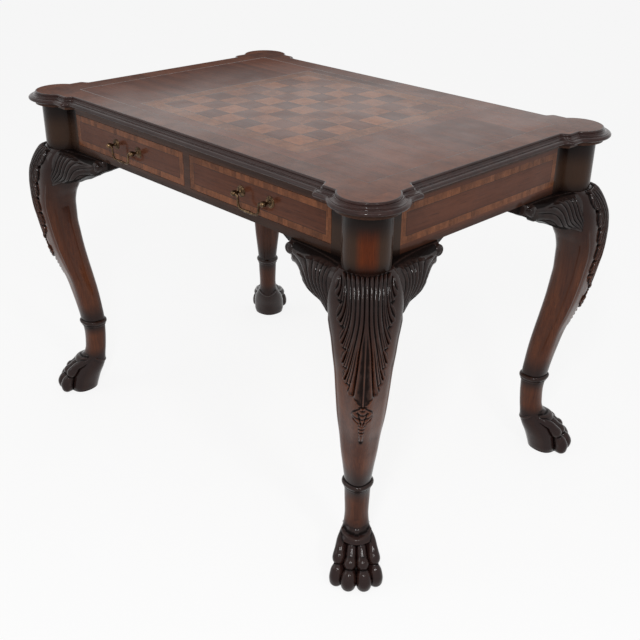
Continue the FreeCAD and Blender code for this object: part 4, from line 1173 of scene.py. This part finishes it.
def rail_burst(place, colour):
    """A darker strip along the bottom of the rails and panels."""
    height = parts_of(place)[2]
    return blend(stretched(height, 0.640, 0.653, 0.6, 0.0), colour, (0.012, 0.007, 0.005))


def leg_burst(place, colour):
    """Warm on the shaft and the ankle, dark at the knee, the collar and the paw."""
    height = parts_of(place)[2]
    shaft = band(height, (0.200, 0.255), (0.380, 0.615))
    ankle = band(height, (0.090, 0.120), (0.150, 0.178))
    warm = maths("MAXIMUM", shaft, times(ankle, 0.9))
    uneven = stretched(noise(place, 14.0, 3.0)["Fac"], 0.25, 0.6, 0.75, 1.0)
    dark = blend(stretched(height, 0.080, 0.110), (0.018, 0.008, 0.007), (0.016, 0.0065, 0.005))
    return blend(times(warm, uneven), dark, colour)


def top_wear_and_dim_reflection(place):
    """The polish of the top is duller at both ends, most of all at the left one, and towards the far
    corner. This is partly worn polish and partly painted dimming of the reflections.
    """
    x, y, _ = parts_of(place)
    left = stretched(x, -0.50, -0.10, 0.25, 1.0)
    right = stretched(x, 0.35, 0.50, 1.0, 0.75)
    # Painted dimming of reflections: the gloss fades towards the far corner.
    far = stretched(minus(x, y), -0.80, 0.10, 0.4, 1.0)
    return times(times(left, right), far)


print("the ends of the columns turn to", NEAR_BLACK_AND_SHADE)

# %% [markdown]
# ## Finishes of the case and the top
# The tones were matched against the photograph: red-brown mahogany on the panels and
# the field, lighter orange wood in the bands, darker wood in the mouldings and rails. The
# grain of a board runs the long way of the board, as it must for strength.

# %% Woods
SQUARE = 0.052
# The top's gloss is dulled by position, partly for worn polish and partly as painted dimming of
# reflections.
TOP = dict(specular=0.0, coat_ior=1.26, wear_and_shade=top_wear_and_dim_reflection)
SQUARES = dict(cut=((-4 * SQUARE, -4 * SQUARE, 0), (SQUARE, SQUARE, 1)), **TOP)
PANEL = dict(length=0.20, width=0.0045, sway=0.01, figure=0.3, figure_size=0.03)
PANEL_TONES = ((0.056, 0.0165, 0.008), (0.108, 0.036, 0.018))
field_wood = wood(
    "mahogany field", (0.064, 0.016, 0.007), (0.168, 0.048, 0.019), length=0.16, width=0.004, sway=0.008,
    figure=0.35, figure_size=0.03, cut=((-0.5, -0.5, 0), (0.26, 0.17, 1)), joint_dark=0.08, **TOP)
border_wood = wood(
    "crossbanded border", (0.074, 0.022, 0.011), (0.168, 0.054, 0.024), figure=0.6, figure_size=0.016,
    cut=((-0.49, -0.425, 0), (0.07, 0.085, 1)), joint_dark=0.25, **TOP)
frame_wood = wood(
    "burr band round the board", (0.120, 0.036, 0.013), (0.260, 0.095, 0.036), figure=0.85,
    figure_size=0.011, cut=((-0.26, -0.26, 0), (0.13, 0.13, 1)), **TOP)
light_wood = wood(
    "light squares", (0.150, 0.045, 0.016), (0.310, 0.112, 0.044), figure=0.75, figure_size=0.01,
    **SQUARES)
dark_wood = wood(
    "dark squares", (0.075, 0.019, 0.008), (0.150, 0.044, 0.018), length=0.05, width=0.0022, **SQUARES)
panel_wood = wood("mahogany panels", *PANEL_TONES, **PANEL)
side_panel_wood = wood("mahogany side panels", *PANEL_TONES, along="y", shading=rail_burst, **PANEL)
band_wood = wood(
    "orange crossband", (0.074, 0.024, 0.009), (0.210, 0.074, 0.031), along="z", length=0.02, width=0.002,
    figure=0.55, figure_size=0.006, cut=((0, 0, 0.6528), (0.0125, 0.0125, 0.0229)))
line_wood = wood("dark line", (0.026, 0.010, 0.006), (0.048, 0.018, 0.010), length=0.03, width=0.001)
moulding_wood = wood(
    "dark moulding", (0.014, 0.006, 0.0055), (0.036, 0.015, 0.012), length=0.12, width=0.0025,
    coat_ior=1.2, specular=0.1, coat_roughness=0.05)
rail_wood = wood(
    "dark rails", (0.030, 0.011, 0.006), (0.068, 0.028, 0.016), length=0.12, width=0.0025,
    shading=rail_burst)
column_wood = wood(
    "burst columns", (0.036, 0.007, 0.002), (0.100, 0.019, 0.003), along="z", length=0.07, width=0.003,
    shading=column_burst_and_shade)
plain_wood = wood(
    "plain secondary wood", (0.200, 0.110, 0.052), (0.380, 0.240, 0.125), length=0.14, width=0.003,
    gloss=0.0, roughness=0.62, specular=0.3, dents=0.0012)
print("woods:", len(bpy.data.materials))

# %% [markdown]
# ## Carved wood
# The legs and brackets take the same recipe, with the carving group on top: furrows are
# near black with old wax and painted shade, as are the brackets' shaded shelf and underside,
# and crests are rubbed to a lighter brown and to a higher gloss.

# %% Carved wood
# Near black for old wax and for painted shade in furrows and shaded places; a lighter brown for rubbed
# crests.
WAX_AND_SHADE_BLACK, RUBBED_CREST = (0.0035, 0.002, 0.0018), (0.042, 0.018, 0.012)


def carved_masks(place):
    """The dirt with its painted shade, and the rubbing, from the hollowness that the mesh keeps."""
    hollow = node(place.id_data, "Attribute", attribute_name="hollow").outputs["Fac"]
    return use(carving, Place=place, Hollow=hollow)


def matt_dirt_and_shade(place):
    """Old wax and painted shade in the deepest furrows and marked places take away the gloss."""
    return minus(1.0, maths("POWER", carved_masks(place)["Dirt"], 4.0))


def worn_and_shaded(place, colour):
    """Old wax and painted shade in the furrows and marked places, and rubbed crests, by the hollowness of
    each point of the mesh.
    """
    masks = carved_masks(place)
    colour = blend(times(masks["Rub"], 0.3), colour, RUBBED_CREST)
    return blend(times(masks["Dirt"], 0.94), colour, WAX_AND_SHADE_BLACK)


def worn_and_shaded_leg(place, colour):
    """The leg's burst under the dirt, the painted shade and the rubbed crests."""
    return worn_and_shaded(place, leg_burst(place, colour))


CARVED = dict(coat_ior=1.26, coat_roughness=0.08, wear_and_shade=matt_dirt_and_shade)
leg_wood = wood(
    "carved legs", (0.052, 0.0135, 0.006), (0.122, 0.037, 0.014), along="z", length=0.12, width=0.003,
    sway=0.006, shading=worn_and_shaded_leg, **CARVED)
bracket_wood = wood(
    "carved brackets", (0.008, 0.0045, 0.004), (0.022, 0.011, 0.009), length=0.05, width=0.002,
    shading=worn_and_shaded, **CARVED)
print("carved woods:", leg_wood.name, "and", bracket_wood.name)

# %% [markdown]
# ## Brass and steel
# Antique brass is lacquered nearly brown, with blotches of blacker patina and a rubbed
# gleam here and there. The screws are plain steel with finer blotches of their own.

# %% Metals
def metal(name, dull, bright, size, low, high):
    """A metal between two tones, with blotches of patina that are rougher than the rest."""
    material, tree = new_material(name)
    place = node(tree, "TexCoord").outputs["Object"]
    blotches = use(mottle, Place=place, Size=size)
    handled = use(polish, Place=place, Size=0.03)
    share = times(blotches["Clouds"], plus(handled["Clouds"], 0.35))
    surface(tree, {
        "Base Color": blend(share, dull, bright), "Metallic": 1.0,
        "Roughness": stretched(share, 0.0, 1.0, high, low),
        "Normal": dented(0.3, 0.0004, blotches["Curls"]),
    })
    return material


brass = metal("antique brass", (0.040, 0.024, 0.014), (0.170, 0.105, 0.055), 0.004, 0.24, 0.5)
steel = metal("screw steel", (0.25, 0.25, 0.25), (0.55, 0.55, 0.56), 0.002, 0.3, 0.5)
print("metals:", brass.name, "and", steel.name)

# %% [markdown]
# ## Hand out the finishes
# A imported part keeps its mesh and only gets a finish, and the new pieces get theirs the same
# way. The names tell what each part is, so the first line with a word of the name decides.

# %% Assign
FINISHES = [
    (border_wood, "border_crossband"), (band_wood, "crossband"), (line_wood, "stringing"),
    (field_wood, "field_veneer"), (frame_wood, "board_frame_band"), (light_wood, "light_squares"),
    (dark_wood, "dark_squares"), (rail_wood, "top_underframe _rail drawer_divider"),
    (panel_wood, "back_apron drawer_left_front drawer_right_front"), (side_panel_wood, "_apron"),
    (column_wood, "corner_post"), (leg_wood, "leg_front leg_back"), (bracket_wood, "brackets"),
    (moulding_wood, "edge_moulding"), (brass, "handle_ cast_"), (steel, "top_screws"), (plain_wood, "_"),
]


def finish_of(name):
    """The finish of the first line that has a word of the name."""
    return next(finish for finish, words in FINISHES if any(word in name for word in words.split()))


new_pieces = {made.name: made for made in (*legs.values(), *brackets.values(), moulding, *handles)}
for name, part in {**nodes, **new_pieces}.items():
    part.data.materials.clear()
    part.data.materials.append(finish_of(name))
print("finishes handed out to", len(nodes), "parts and", len(new_pieces), "new pieces")

# %% [markdown]
# ## Floor and light
# The photograph was cut out on white. The world is white for the camera and in reflections,
# and dimmer as a light. The floor is near white for the camera too, but part of it stays
# plain matt paint, so that the table keeps its shadow.

# %% Floor
WHITE_SHARE, FLOOR_REACH = 0.86, 30.0


def seen_directly(tree):
    """1 for rays from the camera, from gloss and through glass, and 0 for the light itself."""
    path = node(tree, "LightPath").outputs
    seen = maths("MAXIMUM", path["Is Camera Ray"], path["Is Glossy Ray"])
    return maths("MAXIMUM", seen, path["Is Transmission Ray"])


def faded(share, first, second):
    """A share of the second shader and the rest of the first."""
    return node(share.id_data, "MixShader", share, first.outputs[0], second.outputs[0]).outputs[0]


floor_paint, tree = new_material("floor paint")
matt = node(tree, "BsdfDiffuse", (0.9, 0.9, 0.9))
glow = node(tree, "Emission", (1.0, 1.0, 1.0), 1.0)
share = times(seen_directly(tree), WHITE_SHARE)
node(tree, "OutputMaterial", faded(share, matt, glow))
floor_mesh = bpy.data.meshes.new("floor")
corners = [(x * FLOOR_REACH, y * FLOOR_REACH, 0) for x, y in ((-1, -1), (1, -1), (1, 1), (-1, 1))]
floor_mesh.from_pydata(corners, [], [(0, 1, 2, 3)])
floor = bpy.data.objects.new("floor", floor_mesh)
floor.data.materials.append(floor_paint)
bpy.context.scene.collection.objects.link(floor)
print("floor:", round(2 * FLOOR_REACH), "m wide")

# %% [markdown]
# The studio has one narrow key lamp on the right, which draws the small bright marks on the
# columns and the turned parts, and two weaker lamps that fill the shadows. The mirrored white
# of the walls gives the polish its sheen, so the world stays white where gloss sees it.

# %% World and lamps
WORLD_LIGHT = 0.47
world = bpy.data.worlds.new("studio")
bpy.context.scene.world = world
world.use_nodes = True
tree = world.node_tree
tree.nodes.clear()
dim = node(tree, "Background", (1.0, 1.0, 1.0), WORLD_LIGHT)
white = node(tree, "Background", (1.0, 1.0, 1.0), 1.0)
node(tree, "OutputWorld", faded(seen_directly(tree), dim, white))


def lamp(name, place, aim, width, height, power):
    """A soft lamp at a place, turned towards a point."""
    light = bpy.data.lights.new(name, "AREA")
    light.shape = "RECTANGLE"
    light.size, light.size_y = width, height
    light.energy = power
    obj = bpy.data.objects.new(name, light)
    obj.location = place
    obj.rotation_euler = (Vector(aim) - Vector(place)).to_track_quat("-Z", "Y").to_euler()
    bpy.context.scene.collection.objects.link(obj)
    return obj


lamp("key", (1.50, -1.70, 2.05), (0.5, -0.35, 0.6), 0.2, 0.75, 26)
lamp("fill_left", (-1.6, -2.2, 2.0), (0, 0, 0.5), 1.4, 1.4, 9)
lamp("fill_right", (2.15, -0.80, 1.95), (0.5, -0.2, 0.6), 0.25, 0.25, 11)
bpy.context.scene.view_settings.view_transform = "Standard"
